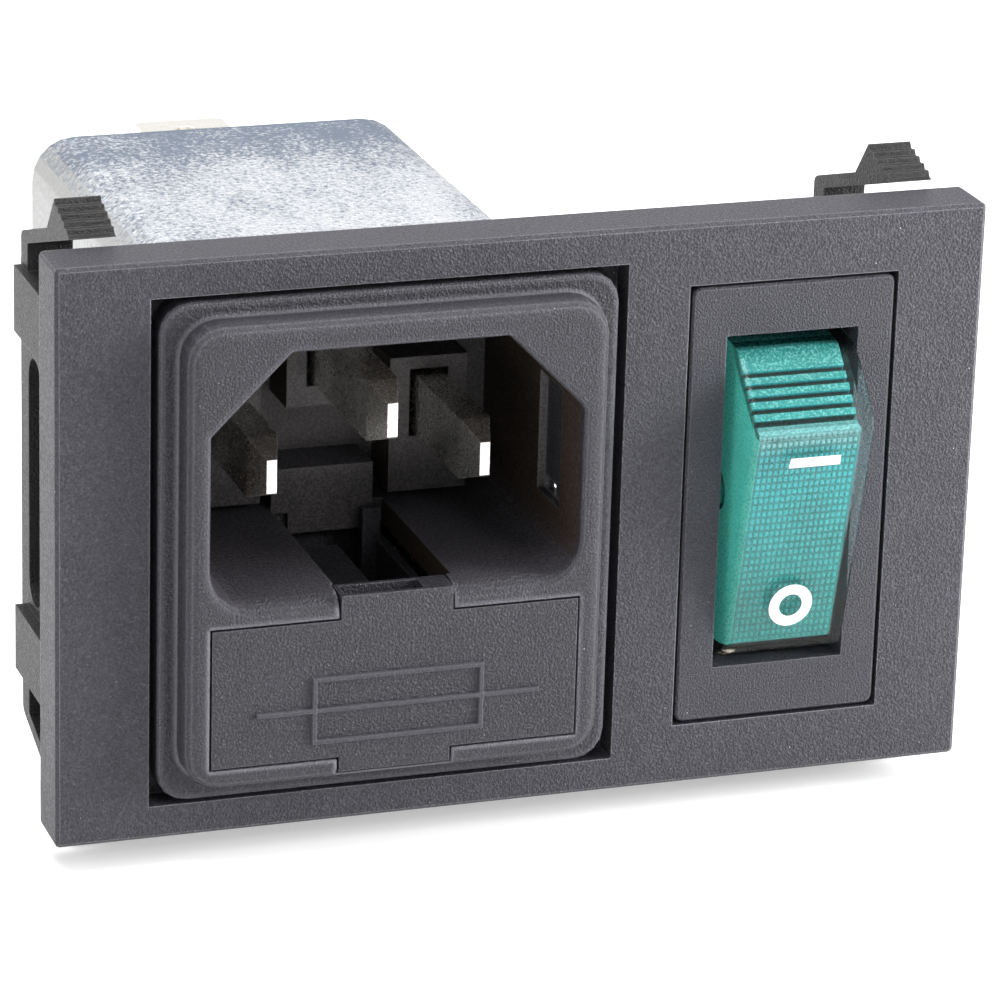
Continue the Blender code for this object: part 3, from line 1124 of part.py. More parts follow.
def make_carrier(half, hub_half):
    """The carrier with its axle and its two stems, each with a spring and a plunger inside."""
    front = PIVOT_Y + SKIRT_DEPTH + SHEET_GAP
    length = SKIRT_RADIUS - 2.4
    carrier = block("rocker_carrier", (SWITCH_X - half, SWITCH_X + half),
                    (front, front + CARRIER_THICK), (OPENING_Z - length, OPENING_Z + length))
    hub = block("carrier_hub", (SWITCH_X - hub_half, SWITCH_X + hub_half),
                (PIVOT_Y - 1.6, front + 0.5), (OPENING_Z - 2.4, OPENING_Z + 2.4))
    axle_half = (SWITCH_BODY_W - SWITCH_WALL) / 2
    axle = turned("carrier_axle", (SWITCH_X, PIVOT_Y, OPENING_Z),
                  [(-axle_half, PIVOT_RADIUS), (axle_half, PIVOT_RADIUS)], "X", 20)
    stems, bores, parts = [], [], []
    bore_radius = PLUNGER_RADIUS + 0.12
    for side, pole in ((-1, "line"), (1, "neutral")):
        stem = turned(f"{pole}_stem", (0.0, 0.0, 0.0),
                      [(STEM_START, bore_radius + STEM_WALL), (STEM_END, bore_radius + STEM_WALL)], sides=14)
        bore = turned(f"{pole}_stem_bore", (0.0, 0.0, 0.0),
                      [(SPRING_START - 0.2, bore_radius), (STEM_END + 2, bore_radius)], sides=14)
        plunger = turned(f"{pole}_plunger", (0.0, 0.0, 0.0),
                         [(SPRING_END + 0.2, PLUNGER_RADIUS), (PLUNGER_REACH - 0.9, PLUNGER_RADIUS),
                          (PLUNGER_REACH - 0.3, PLUNGER_RADIUS * 0.75), (PLUNGER_REACH, PLUNGER_RADIUS * 0.35)],
                         sides=14)
        spring = make_spring(f"{pole}_spring", SPRING_START, SPRING_END)
        for piece in (stem, bore, plunger, spring):
            piece.location = [v * MM for v in (SWITCH_X + side * PLUNGER_X, PIVOT_Y, OPENING_Z)]
            piece.rotation_euler = (math.radians(ROCKER_TILT), 0.0, 0.0)
        stems.append(stem)
        bores.append(bore)
        parts.append(dress(plunger, (0.75, 0.75, 0.72), 0.35))
        parts.append(dress(spring, (0.70, 0.70, 0.72), 0.25, 1.0))
    join(carrier, hub, axle, *stems)
    cut(carrier, *bores)
    return [dress(carrier, (0.06, 0.06, 0.065), 0.5)] + parts


def make_spring(name, start, end):
    """A coil spring along Y, swept along its helix."""
    steps = SPRING_TURNS * 8
    rings = []
    for i in range(steps + 1):
        angle = 2 * math.pi * SPRING_TURNS * i / steps
        y = start + (end - start) * i / steps
        ring = []
        for u, v in circle(SPRING_WIRE / 2, sides=5):
            radius = SPRING_RADIUS + u
            ring.append((radius * math.cos(angle), y + v, radius * math.sin(angle)))
        rings.append(ring)
    return loft(name, rings)


def make_lamp():
    """The neon lamp upright behind the lens, and the resistor below it."""
    low = OPENING_Z + 0.9
    high = low + LAMP_LENGTH
    lamp = turned("neon_lamp", (SWITCH_X, LAMP_Y, 0.0),
                  [(low, LAMP_RADIUS * 0.8), (low + 0.4, LAMP_RADIUS), (high - 1.0, LAMP_RADIUS),
                   (high - 0.3, LAMP_RADIUS * 0.7), (high, LAMP_RADIUS * 0.25)], "Z", 14)
    profile = [(-7.2, 0.7), (-6.9, 1.0), (-6.0, 1.0), (-5.8, 0.85), (-4.2, 0.85), (-4.0, 1.0), (-3.1, 1.0), (-2.8, 0.7)]
    ballast = turned("lamp_resistor", (SWITCH_X, BALLAST_Y, OPENING_Z),
                     [(reach, BALLAST_RADIUS * share) for reach, share in profile], "Z", 12)
    return [dress(lamp, (0.95, 0.90, 0.85), 0.05, 0.0, 1.0), dress(ballast, (0.70, 0.58, 0.38), 0.5)]


for old in list(bpy.data.objects):
    bpy.data.objects.remove(old, do_unlink=True)

make_frame()
make_housing()
make_pins()
sliding = [make_drawer()] + make_fuses()
make_fuse_contacts()
make_can()
make_terminals()
make_filter_parts()
make_insert()
make_switch_base()
make_contact_bars()
rocking = make_rocker()
hang(pivot_parent("drawer_slide", (INLET_X, BOSS_FRONT, (DRAWER_TOP + DRAWER_BOTTOM) / 2)), *sliding)
hang(pivot_parent("rocker_pivot", (SWITCH_X, PIVOT_Y, OPENING_Z)), *rocking)
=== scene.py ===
import math

import bmesh
import bpy
from mathutils import Matrix, Vector


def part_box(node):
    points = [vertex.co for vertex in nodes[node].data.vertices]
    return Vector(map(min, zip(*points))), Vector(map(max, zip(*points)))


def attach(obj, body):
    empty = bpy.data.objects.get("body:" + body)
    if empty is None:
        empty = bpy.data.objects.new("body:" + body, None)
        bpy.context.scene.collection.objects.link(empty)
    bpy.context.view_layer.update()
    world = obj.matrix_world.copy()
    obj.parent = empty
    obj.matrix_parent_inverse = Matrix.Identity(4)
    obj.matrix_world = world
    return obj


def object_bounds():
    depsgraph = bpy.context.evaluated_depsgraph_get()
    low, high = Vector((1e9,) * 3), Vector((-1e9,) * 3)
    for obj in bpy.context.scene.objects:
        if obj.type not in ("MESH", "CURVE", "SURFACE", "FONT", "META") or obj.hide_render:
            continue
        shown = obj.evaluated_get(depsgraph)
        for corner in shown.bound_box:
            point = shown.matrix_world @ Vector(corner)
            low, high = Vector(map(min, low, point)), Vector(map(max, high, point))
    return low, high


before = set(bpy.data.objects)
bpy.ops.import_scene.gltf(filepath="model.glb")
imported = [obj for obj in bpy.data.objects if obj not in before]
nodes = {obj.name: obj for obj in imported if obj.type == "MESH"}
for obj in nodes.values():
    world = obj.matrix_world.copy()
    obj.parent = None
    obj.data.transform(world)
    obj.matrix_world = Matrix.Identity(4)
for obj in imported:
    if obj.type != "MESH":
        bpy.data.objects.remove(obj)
cad_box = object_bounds()
scene = bpy.context.scene

# The view and the light
# The module stands on a white table and is seen from its left and from above, through a long lens.
# A white room lights it from all round, and four soft lamps put the sheen on its top, ends and edges.
EYE = Vector((-0.10882, -0.28632, 0.10964))
RIGHT = Vector((0.94695, -0.32015, 0.02807))
UP = Vector((0.08373, 0.33010, 0.94022))
AHEAD = Vector((0.31028, 0.88799, -0.33940))
FOCAL_LENGTH = 182.05
SENSOR_WIDTH = 36.0
camera_data = bpy.data.cameras.new("camera")
camera_data.lens = FOCAL_LENGTH
camera_data.sensor_width = SENSOR_WIDTH
camera_data.clip_start = 0.001
camera = bpy.data.objects.new("camera", camera_data)
turn = Matrix((RIGHT, UP, -AHEAD)).transposed().to_4x4()
camera.matrix_world = Matrix.Translation(EYE) @ turn
scene.collection.objects.link(camera)
scene.camera = camera
scene.view_settings.view_transform = "Standard"

# The room is plain white to the eye, in mirrors and through glass, and fills the shadows only softly.
FILL_STRENGTH = 0.32
room = bpy.data.worlds.new("white_room")
scene.world = room
room.use_nodes = True
room_tree = room.node_tree
room_tree.nodes.clear()
seen = room_tree.nodes.new("ShaderNodeLightPath")
seen_or_mirrored = room_tree.nodes.new("ShaderNodeMath")
seen_or_mirrored.operation = "MAXIMUM"
seen_at_all = room_tree.nodes.new("ShaderNodeMath")
seen_at_all.operation = "MAXIMUM"
seen_white = room_tree.nodes.new("ShaderNodeBackground")
seen_white.inputs["Color"].default_value = (1.0, 1.0, 1.0, 1.0)
seen_white.inputs["Strength"].default_value = 1.0
soft_fill = room_tree.nodes.new("ShaderNodeBackground")
soft_fill.inputs["Color"].default_value = (1.0, 1.0, 1.0, 1.0)
soft_fill.inputs["Strength"].default_value = FILL_STRENGTH
room_mix = room_tree.nodes.new("ShaderNodeMixShader")
room_out = room_tree.nodes.new("ShaderNodeOutputWorld")
link = room_tree.links.new
link(seen.outputs["Is Camera Ray"], seen_or_mirrored.inputs[0])
link(seen.outputs["Is Glossy Ray"], seen_or_mirrored.inputs[1])
link(seen_or_mirrored.outputs[0], seen_at_all.inputs[0])
link(seen.outputs["Is Transmission Ray"], seen_at_all.inputs[1])
link(seen_at_all.outputs[0], room_mix.inputs["Fac"])
link(soft_fill.outputs[0], room_mix.inputs[1])
link(seen_white.outputs[0], room_mix.inputs[2])
link(room_mix.outputs[0], room_out.inputs["Surface"])


def soft_lamp(name, place, width, height, power, aim=(0.0, 0.0, 0.0)):
    """A rectangular soft lamp at a place, aimed at a point. Its power is in watts."""
    lamp_data = bpy.data.lights.new(name, "AREA")
    lamp_data.shape = "RECTANGLE"
    lamp_data.size = width
    lamp_data.size_y = height
    lamp_data.energy = power
    lamp = bpy.data.objects.new(name, lamp_data)
    lamp.location = place
    lamp.rotation_euler = (Vector(aim) - Vector(place)).to_track_quat("-Z", "Y").to_euler()
    scene.collection.objects.link(lamp)


soft_lamp("top_lamp", (-0.06, 0.05, 0.80), width=0.70, height=0.60, power=10.6)
soft_lamp("left_lamp", (-0.72, -0.04, 0.26), width=0.80, height=0.70, power=1.9)
soft_lamp("key_lamp", (0.20, -0.48, 0.30), width=0.16, height=0.10, power=0.6)
soft_lamp("right_lamp", (0.20, -0.08, 0.05), width=0.07, height=0.12, power=0.82, aim=(0.01, 0.0, 0.0))

# The table top, white and matt. To the eye it reads a little lighter than the light it gives back.
TABLE_HALF = 3.0
TABLE_WHITE = (0.86, 0.86, 0.86)
TABLE_LIFT = 0.40
table_z = min(cad_box[0][2], cad_box[1][2])
table_mesh = bpy.data.meshes.new("table_top")
table_mesh.from_pydata([(-TABLE_HALF, -TABLE_HALF, table_z), (TABLE_HALF, -TABLE_HALF, table_z),
                        (TABLE_HALF, TABLE_HALF, table_z), (-TABLE_HALF, TABLE_HALF, table_z)],
                       [], [(0, 1, 2, 3)])
table_top = bpy.data.objects.new("table_top", table_mesh)
scene.collection.objects.link(table_top)
table_white = bpy.data.materials.new("table_white")
table_white.use_nodes = True
table_shader = table_white.node_tree.nodes["Principled BSDF"]
table_shader.inputs["Base Color"].default_value = (*TABLE_WHITE, 1.0)
table_shader.inputs["Roughness"].default_value = 0.9
table_shader.inputs["Specular IOR Level"].default_value = 0.0
table_shader.inputs["Emission Color"].default_value = (1.0, 1.0, 1.0, 1.0)
table_sight = table_white.node_tree.nodes.new("ShaderNodeLightPath")
table_lift = table_white.node_tree.nodes.new("ShaderNodeMath")
table_lift.operation = "MULTIPLY"
table_lift.inputs[1].default_value = TABLE_LIFT
table_seen = table_white.node_tree.nodes.new("ShaderNodeMath")
table_seen.operation = "MAXIMUM"
table_white.node_tree.links.new(table_sight.outputs["Is Camera Ray"], table_seen.inputs[0])
table_white.node_tree.links.new(table_sight.outputs["Is Glossy Ray"], table_seen.inputs[1])
table_white.node_tree.links.new(table_seen.outputs[0], table_lift.inputs[0])
table_white.node_tree.links.new(table_lift.outputs[0], table_shader.inputs["Emission Strength"])
table_mesh.materials.append(table_white)

# Bezel frame
# One charcoal moulding in flame-retardant nylon: plate, end walls, blocks and four snap catches. Its
# mould was spark-eroded, which leaves a fine matt grain with a few bright specks. The grain's crests
# carry painted glints, and the rounded corners a painted highlight.
CHARCOAL = (0.028, 0.027, 0.034)
CHARCOAL_PALE = (0.058, 0.056, 0.068)
CHARCOAL_EDGE_HIGHLIGHT = (0.26, 0.26, 0.285)
SPECK_AND_GLINT_WHITE = (0.42, 0.42, 0.45)
PEBBLE_SCALE = 6600.0
CLOUD_SCALE = 300.0
SPECK_CELLS = 2600.0
SPECK_SHARE = 0.025
GRAIN_RELIEF = 0.00017
CORNER_WIDTH = 0.00013
CORNER_SAMPLES = 6
PLASTIC_SHEEN = 0.26


def new_effect(name, inputs, outputs):
    """An empty shader group with named sockets: returns its tree, its input node and its output node."""
    tree = bpy.data.node_groups.new(name, "ShaderNodeTree")
    kinds = {"value": "NodeSocketFloat", "colour": "NodeSocketColor", "vector": "NodeSocketVector"}
    for socket, kind in inputs:
        tree.interface.new_socket(name=socket, in_out="INPUT", socket_type=kinds[kind])
    for socket, kind in outputs:
        tree.interface.new_socket(name=socket, in_out="OUTPUT", socket_type=kinds[kind])
    return tree, tree.nodes.new("NodeGroupInput"), tree.nodes.new("NodeGroupOutput")


def add_math(tree, operation, first, second=None, third=None):
    """A math node; each operand is a number or an output."""
    made = tree.nodes.new("ShaderNodeMath")
    made.operation = operation
    for slot, value in enumerate((first, second, third)):
        if value is None:
            continue
        if isinstance(value, (int, float)):
            made.inputs[slot].default_value = value
        else:
            tree.links.new(value, made.inputs[slot])
    return made.outputs[0]


def add_range(tree, value, low, high, to_low=0.0, to_high=1.0, smooth=False):
    """A value carried from one range to another, held inside it."""
    made = tree.nodes.new("ShaderNodeMapRange")
    made.interpolation_type = "SMOOTHSTEP" if smooth else "LINEAR"
    tree.links.new(value, made.inputs["Value"])
    made.inputs["From Min"].default_value = low
    made.inputs["From Max"].default_value = high
    made.inputs["To Min"].default_value = to_low
    made.inputs["To Max"].default_value = to_high
    return made.outputs["Result"]


def add_noise(tree, place, scale, detail=2.0, roughness=0.5):
    """Soft noise from 0 to 1, with its scale in waves per metre."""
    made = tree.nodes.new("ShaderNodeTexNoise")
    tree.links.new(place, made.inputs["Vector"])
    made.inputs["Scale"].default_value = scale
    made.inputs["Detail"].default_value = detail
    made.inputs["Roughness"].default_value = roughness
    return made.outputs["Fac"]


def add_mix(tree, share, first, second):
    """Two colours mixed by a share; each is an RGB triple or an output."""
    made = tree.nodes.new("ShaderNodeMix")
    made.data_type = "RGBA"
    if isinstance(share, (int, float)):
        made.inputs[0].default_value = share
    else:
        tree.links.new(share, made.inputs[0])
    for slot, value in ((6, first), (7, second)):
        if isinstance(value, tuple):
            made.inputs[slot].default_value = (*value, 1.0)
        else:
            tree.links.new(value, made.inputs[slot])
    return made.outputs[2]


def object_place(tree):
    """The point on the part, in metres."""
    return tree.nodes.new("ShaderNodeTexCoord").outputs["Object"]


def split_axes(tree, vector):
    """A vector's X, Y and Z, by name."""
    split = tree.nodes.new("ShaderNodeSeparateXYZ")
    tree.links.new(vector, split.inputs[0])
    return split.outputs


def place_axes(tree):
    """Where the point on the part lies."""
    return split_axes(tree, object_place(tree))


def facing_axes(tree):
    """Which way the surface faces."""
    return split_axes(tree, tree.nodes.new("ShaderNodeNewGeometry").outputs["Normal"])


def make_mould_grain():
    """The pebbled skin of a spark-eroded mould: colour, roughness and height, with bright specks and painted
    glints on its crests.
    """
    tree, given, out = new_effect(
        "mould_grain",
        [("Dark", "colour"), ("Light", "colour"), ("Speck Colour", "colour"), ("Grain", "value"),
         ("Specks", "value")],
        [("Colour", "colour"), ("Roughness", "value"), ("Height", "value")])
    place = object_place(tree)
    scaled = tree.nodes.new("ShaderNodeVectorMath")
    scaled.operation = "SCALE"
    tree.links.new(place, scaled.inputs[0])
    tree.links.new(given.outputs["Grain"], scaled.inputs["Scale"])
    pebble = add_noise(tree, scaled.outputs[0], PEBBLE_SCALE, roughness=0.55)
    cloud = add_noise(tree, place, CLOUD_SCALE)
    share = add_range(tree, pebble, 0.32, 0.70)
    share = add_math(tree, "ADD", share, add_range(tree, cloud, 0.3, 0.7, -0.08, 0.08))
    colour = add_mix(tree, share, given.outputs["Dark"], given.outputs["Light"])
    # The pebbles' crests are lightened a little towards the speck colour: painted glints.
    crest_glint = add_range(tree, pebble, 0.62, 0.76, 0.0, 0.10)
    colour = add_mix(tree, crest_glint, colour, given.outputs["Speck Colour"])
    cells = tree.nodes.new("ShaderNodeTexVoronoi")
    cells.inputs["Scale"].default_value = SPECK_CELLS
    tree.links.new(place, cells.inputs["Vector"])
    dot = add_range(tree, cells.outputs["Distance"], 0.07, 0.14, 1.0, 0.0)
    picked = tree.nodes.new("ShaderNodeSeparateColor")
    tree.links.new(cells.outputs["Color"], picked.inputs[0])
    chosen = add_math(tree, "LESS_THAN", picked.outputs[0], given.outputs["Specks"])
    speck = add_math(tree, "MULTIPLY", dot, chosen)
    tree.links.new(add_mix(tree, speck, colour, given.outputs["Speck Colour"]), out.inputs["Colour"])
    tree.links.new(add_range(tree, pebble, 0.3, 0.7, 0.52, 0.34), out.inputs["Roughness"])
    height = add_math(tree, "MULTIPLY_ADD", speck, 0.4, pebble)
    tree.links.new(height, out.inputs["Height"])
    return tree


def make_rounded_edge():
    """Rounded corners: the normal that turns over an edge, and a mask of where it turns."""
    tree, given, out = new_effect("rounded_edge", [("Width", "value")],
                                  [("Mask", "value"), ("Normal", "vector")])
    rounded = tree.nodes.new("ShaderNodeBevel")
    rounded.samples = CORNER_SAMPLES
    tree.links.new(given.outputs["Width"], rounded.inputs["Radius"])
    flat = tree.nodes.new("ShaderNodeNewGeometry")
    agree = tree.nodes.new("ShaderNodeVectorMath")
    agree.operation = "DOT_PRODUCT"
    tree.links.new(rounded.outputs[0], agree.inputs[0])
    tree.links.new(flat.outputs["Normal"], agree.inputs[1])
    tree.links.new(add_range(tree, agree.outputs["Value"], 0.995, 0.86), out.inputs["Mask"])
    tree.links.new(rounded.outputs[0], out.inputs["Normal"])
    return tree


mould_grain = make_mould_grain()
rounded_edge = make_rounded_edge()


def use_effect(tree, group, **values):
    """Places a shader group in a material and sets its inputs."""
    made = tree.nodes.new("ShaderNodeGroup")
    made.node_tree = group
    for name, value in values.items():
        socket = made.inputs[name.replace("_", " ")]
        socket.default_value = (*value, 1.0) if isinstance(value, tuple) else value
    return made


def new_material(name):
    """A material with its tree and its shader."""
    material = bpy.data.materials.new(name)
    material.use_nodes = True
    return material, material.node_tree, material.node_tree.nodes["Principled BSDF"]


def add_bump(tree, height, distance, normal=None):
    """The normal of a relief of the given depth, on top of another normal if there is one."""
    made = tree.nodes.new("ShaderNodeBump")
    made.inputs["Strength"].default_value = 1.0
    made.inputs["Distance"].default_value = distance
    tree.links.new(height, made.inputs["Height"])
    if normal is not None:
        tree.links.new(normal, made.inputs["Normal"])
    return made.outputs["Normal"]


def moulded_plastic(name, dark, light, edge_highlight, grain=1.0, specks=SPECK_SHARE, relief=GRAIN_RELIEF,
                    width=CORNER_WIDTH):
    """Matt moulded plastic with the mould's grain, and a painted highlight on its rounded corners."""
    material, tree, shader = new_material(name)
    grain_node = use_effect(tree, mould_grain, Dark=dark, Light=light, Speck_Colour=SPECK_AND_GLINT_WHITE,
                            Grain=grain, Specks=specks)
    edge = use_effect(tree, rounded_edge, Width=width)
    # The edge mask lightens the corners towards the edge colour: a painted highlight.
    colour = add_mix(tree, edge.outputs["Mask"], grain_node.outputs["Colour"], edge_highlight)
    tree.links.new(colour, shader.inputs["Base Color"])
    tree.links.new(grain_node.outputs["Roughness"], shader.inputs["Roughness"])
    shader.inputs["Specular IOR Level"].default_value = PLASTIC_SHEEN
    tree.links.new(add_bump(tree, grain_node.outputs["Height"], relief, edge.outputs["Normal"]),
                   shader.inputs["Normal"])
    return material


def put_on(material, *names):
    """Gives CAD parts their material."""
    for name in names:
        slots = nodes[name].data.materials
        slots.clear()
        slots.append(material)


charcoal_grained = moulded_plastic("charcoal_grained", CHARCOAL, CHARCOAL_PALE, CHARCOAL_EDGE_HIGHLIGHT)
put_on(charcoal_grained, "bezel_frame")

# Behind the plate the same moulding is coloured darker and cloudy, and its corners carry a painted highlight.
BACK_DARK = (0.005, 0.0045, 0.005)
BACK_PALE = (0.018, 0.0165, 0.018)
BACK_EDGE_HIGHLIGHT = (0.085, 0.083, 0.085)
PLATE_BACK = (0.0001, 0.0005)
tree = charcoal_grained.node_tree
shader = tree.nodes["Principled BSDF"]
behind = add_range(tree, place_axes(tree)["Y"], *PLATE_BACK)
grained_colour = shader.inputs["Base Color"].links[0].from_socket
back_cloud = add_noise(tree, object_place(tree), 800.0, 3.0, 0.6)
back_colour = add_mix(tree, back_cloud, BACK_DARK, BACK_PALE)
frame_edge = use_effect(tree, rounded_edge, Width=CORNER_WIDTH)
back_colour = add_mix(tree, frame_edge.outputs["Mask"], back_colour, BACK_EDGE_HIGHLIGHT)
tree.links.new(add_mix(tree, behind, grained_colour, back_colour), shader.inputs["Base Color"])

# Inlet housing
# One charcoal moulding: flange, raised boss, connector cavity and fuse bay. Its front has the same grain
# as the frame. In the cavity the grain is shallower, and the walls stay brownish and nearly black.
HOUSING_DARK = (0.023, 0.022, 0.027)
HOUSING_PALE = (0.049, 0.047, 0.057)
HOUSING_EDGE_HIGHLIGHT = (0.20, 0.20, 0.225)
CAVITY_EDGE_HIGHLIGHT = (0.12, 0.118, 0.12)
CAVITY_SPECK = (0.30, 0.29, 0.29)
CAVITY_WALL = ((0.034, 0.024, 0.019), (0.066, 0.049, 0.040))
CAVITY_FLOOR = ((0.036, 0.034, 0.040), (0.090, 0.084, 0.098))
CAVITY_FACES = ((0.050, 0.046, 0.047), (0.105, 0.098, 0.100))
CAVITY_PADS = ((0.105, 0.098, 0.098), (0.170, 0.160, 0.160))
CAVITY_MOUTH = (-0.0058, -0.0047)
CAVITY_HALF_WIDTH = 0.0126
CAVITY_MIDDLE_Z = 0.0005
CAVITY_HALF_HEIGHT = 0.0131
PADS_FOOT = (-0.0010, 0.0014)
BOSS_ROUND = 0.0006
CAVITY_ROUND = 0.00015
housing_material, tree, shader = new_material("charcoal_housing")
grain_node = use_effect(tree, mould_grain, Dark=HOUSING_DARK, Light=HOUSING_PALE, Speck_Colour=SPECK_AND_GLINT_WHITE,
                        Grain=1.0, Specks=SPECK_SHARE)
edge = use_effect(tree, rounded_edge)
place = place_axes(tree)
facing = facing_axes(tree)
inlet_low, inlet_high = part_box("inlet_housing")
inlet_x = (inlet_low.x + inlet_high.x) / 2

# The mask of the cavity, from its mouth inwards. The outer corners are rounder than the cavity's.
depth_share = add_range(tree, place["Y"], *CAVITY_MOUTH, smooth=True)
across = add_math(tree, "ABSOLUTE", add_math(tree, "SUBTRACT", place["X"], inlet_x))
inside = add_math(tree, "MULTIPLY", add_math(tree, "LESS_THAN", across, CAVITY_HALF_WIDTH),
                  add_math(tree, "COMPARE", place["Z"], CAVITY_MIDDLE_Z, CAVITY_HALF_HEIGHT))
inner = add_math(tree, "MULTIPLY", depth_share, inside)
tree.links.new(add_range(tree, inner, 0.0, 1.0, BOSS_ROUND, CAVITY_ROUND), edge.inputs["Width"])

# In the cavity the floor, the walls, the faces and the pads round the pins each get their own painted light
# and shade, picked by the way they face and by height.
upward = add_range(tree, facing["Z"], 0.3, 0.8)
forward = add_range(tree, facing["Y"], -0.3, -0.8)
skin_share = add_range(tree, grain_node.outputs["Height"], 0.38, 0.66, smooth=True)
cavity_dark = add_mix(tree, upward, CAVITY_WALL[0], CAVITY_FLOOR[0])
high = add_range(tree, place["Z"], *PADS_FOOT)
cavity_dark = add_mix(tree, forward, cavity_dark, add_mix(tree, high, CAVITY_FACES[0], CAVITY_PADS[0]))
cavity_light = add_mix(tree, upward, CAVITY_WALL[1], CAVITY_FLOOR[1])
cavity_light = add_mix(tree, forward, cavity_light, add_mix(tree, high, CAVITY_FACES[1], CAVITY_PADS[1]))
cavity_colour = add_mix(tree, skin_share, cavity_dark, cavity_light)
speck_share = add_range(tree, grain_node.outputs["Height"], 0.84, 0.92)
cavity_colour = add_mix(tree, speck_share, cavity_colour, CAVITY_SPECK)
# The rounded corners of the front and the cavity's lip are lightened: a painted highlight.
skin = add_mix(tree, edge.outputs["Mask"], grain_node.outputs["Colour"], HOUSING_EDGE_HIGHLIGHT)
cavity_lip_highlight = add_mix(tree, edge.outputs["Mask"], cavity_colour, CAVITY_EDGE_HIGHLIGHT)
tree.links.new(add_mix(tree, inner, skin, cavity_lip_highlight), shader.inputs["Base Color"])
tree.links.new(grain_node.outputs["Roughness"], shader.inputs["Roughness"])
shallow = add_math(tree, "MULTIPLY", grain_node.outputs["Height"],
                   add_math(tree, "SUBTRACT", 1.0, add_math(tree, "MULTIPLY", inner, 0.5)))
shader.inputs["Specular IOR Level"].default_value = PLASTIC_SHEEN
tree.links.new(add_bump(tree, shallow, GRAIN_RELIEF, edge.outputs["Normal"]), shader.inputs["Normal"])
put_on(housing_material, "inlet_housing")

# Inlet pins
# Three flat brass pins, 4 by 2 mm, sheared, coined to a blunt point and bright tin plated. The plate is
# smooth, a little mottled along the sides, and carries fine marks from the plug.
TIN = (0.78, 0.77, 0.74)
TIN_MOTTLE = (0.30, 0.28, 0.26)
TIN_SHEARED = (0.88, 0.87, 0.85)
COINED_SCALE = 5600.0


def make_drawn_metal():
    """Plated sheet: long rolling streaks and a soft mottle, as colour, roughness and height."""
    tree, given, out = new_effect(
        "drawn_metal", [("Bright", "colour"), ("Dull", "colour"), ("Smooth", "value"), ("Rough", "value")],
        [("Colour", "colour"), ("Roughness", "value"), ("Height", "value")])
    place = object_place(tree)
    stretch = tree.nodes.new("ShaderNodeMapping")
    stretch.inputs["Scale"].default_value = (1.0, 0.12, 1.0)
    tree.links.new(place, stretch.inputs["Vector"])
    streak = add_noise(tree, stretch.outputs[0], 5200.0)
    mottle = add_noise(tree, place, 1400.0, 3.0, 0.6)
    both = add_math(tree, "MULTIPLY_ADD", mottle, 0.7, add_math(tree, "MULTIPLY", streak, 0.3))
    share = add_range(tree, both, 0.36, 0.64, smooth=True)
    tree.links.new(add_mix(tree, share, given.outputs["Bright"], given.outputs["Dull"]), out.inputs["Colour"])
    rough = tree.nodes.new("ShaderNodeMix")
    tree.links.new(share, rough.inputs[0])
    tree.links.new(given.outputs["Smooth"], rough.inputs[2])
    tree.links.new(given.outputs["Rough"], rough.inputs[3])
    tree.links.new(rough.outputs[0], out.inputs["Roughness"])
    tree.links.new(both, out.inputs["Height"])
    return tree


drawn_metal = make_drawn_metal()


def plated_metal(name, bright, dull, smooth, rough, relief=0.000003, width=0.00008):
    """Plated or bare sheet metal with softened edges."""
    material, tree, shader = new_material(name)
    sheet = use_effect(tree, drawn_metal, Bright=bright, Dull=dull, Smooth=smooth, Rough=rough)
    edge = use_effect(tree, rounded_edge, Width=width)
    tree.links.new(sheet.outputs["Colour"], shader.inputs["Base Color"])
    tree.links.new(sheet.outputs["Roughness"], shader.inputs["Roughness"])
    shader.inputs["Metallic"].default_value = 1.0
    tree.links.new(add_bump(tree, sheet.outputs["Height"], relief, edge.outputs["Normal"]),
                   shader.inputs["Normal"])
    return material


def pin_finish(name, tip_y):
    """Bright tin: smooth sides, mottled by the coining towards the tip, clean on the sheared end."""
    material, tree, shader = new_material(name)
    near_tip = add_range(tree, place_axes(tree)["Y"], tip_y + 0.0014, tip_y + 0.0048, 1.0, 0.16, smooth=True)
    sheared = add_range(tree, facing_axes(tree)["Y"], -0.93, -0.98)
    coined = add_noise(tree, object_place(tree), COINED_SCALE, 3.0, 0.65)
    share = add_math(tree, "MULTIPLY", add_range(tree, coined, 0.46, 0.60), near_tip)
    colour = add_mix(tree, share, TIN, TIN_MOTTLE)
    tree.links.new(add_mix(tree, sheared, colour, TIN_SHEARED), shader.inputs["Base Color"])
    rough = add_math(tree, "MULTIPLY_ADD", share, 0.14, 0.26)
    tree.links.new(add_math(tree, "MULTIPLY_ADD", sheared, 0.22, rough), shader.inputs["Roughness"])
    edge = use_effect(tree, rounded_edge, Width=0.00012)
    # Along the rounded edges the tin is made partly matt and pale where the coining noise is high: painted
    # glints.
    glint = add_math(tree, "MULTIPLY", edge.outputs["Mask"], add_range(tree, coined, 0.42, 0.58))
    tree.links.new(add_range(tree, glint, 0.0, 1.0, 0.94, 0.35), shader.inputs["Metallic"])
    relief = add_math(tree, "MULTIPLY", coined, add_range(tree, near_tip, 0.2, 1.0))
    tree.links.new(add_bump(tree, relief, 0.000006, edge.outputs["Normal"]), shader.inputs["Normal"])
    return material


put_on(pin_finish("live_pin_tin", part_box("line_pin")[0].y), "line_pin", "neutral_pin")
put_on(pin_finish("earth_pin_tin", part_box("earth_pin")[0].y), "earth_pin")

# Fuse drawer
# A charcoal moulding that pulls out of the inlet's foot with two fuses. Its face has a coarser grain
# than the frame, and a fuse symbol stands up from it in thin ridges, moulded with the face.
DRAWER_DARK = (0.022, 0.021, 0.026)
DRAWER_PALE = (0.048, 0.047, 0.056)
DRAWER_EDGE_HIGHLIGHT = (0.12, 0.12, 0.135)
drawer_plastic = moulded_plastic("drawer_plastic", DRAWER_DARK, DRAWER_PALE, DRAWER_EDGE_HIGHLIGHT, grain=0.9,
                                 width=0.00012)
put_on(drawer_plastic, "fuse_drawer")
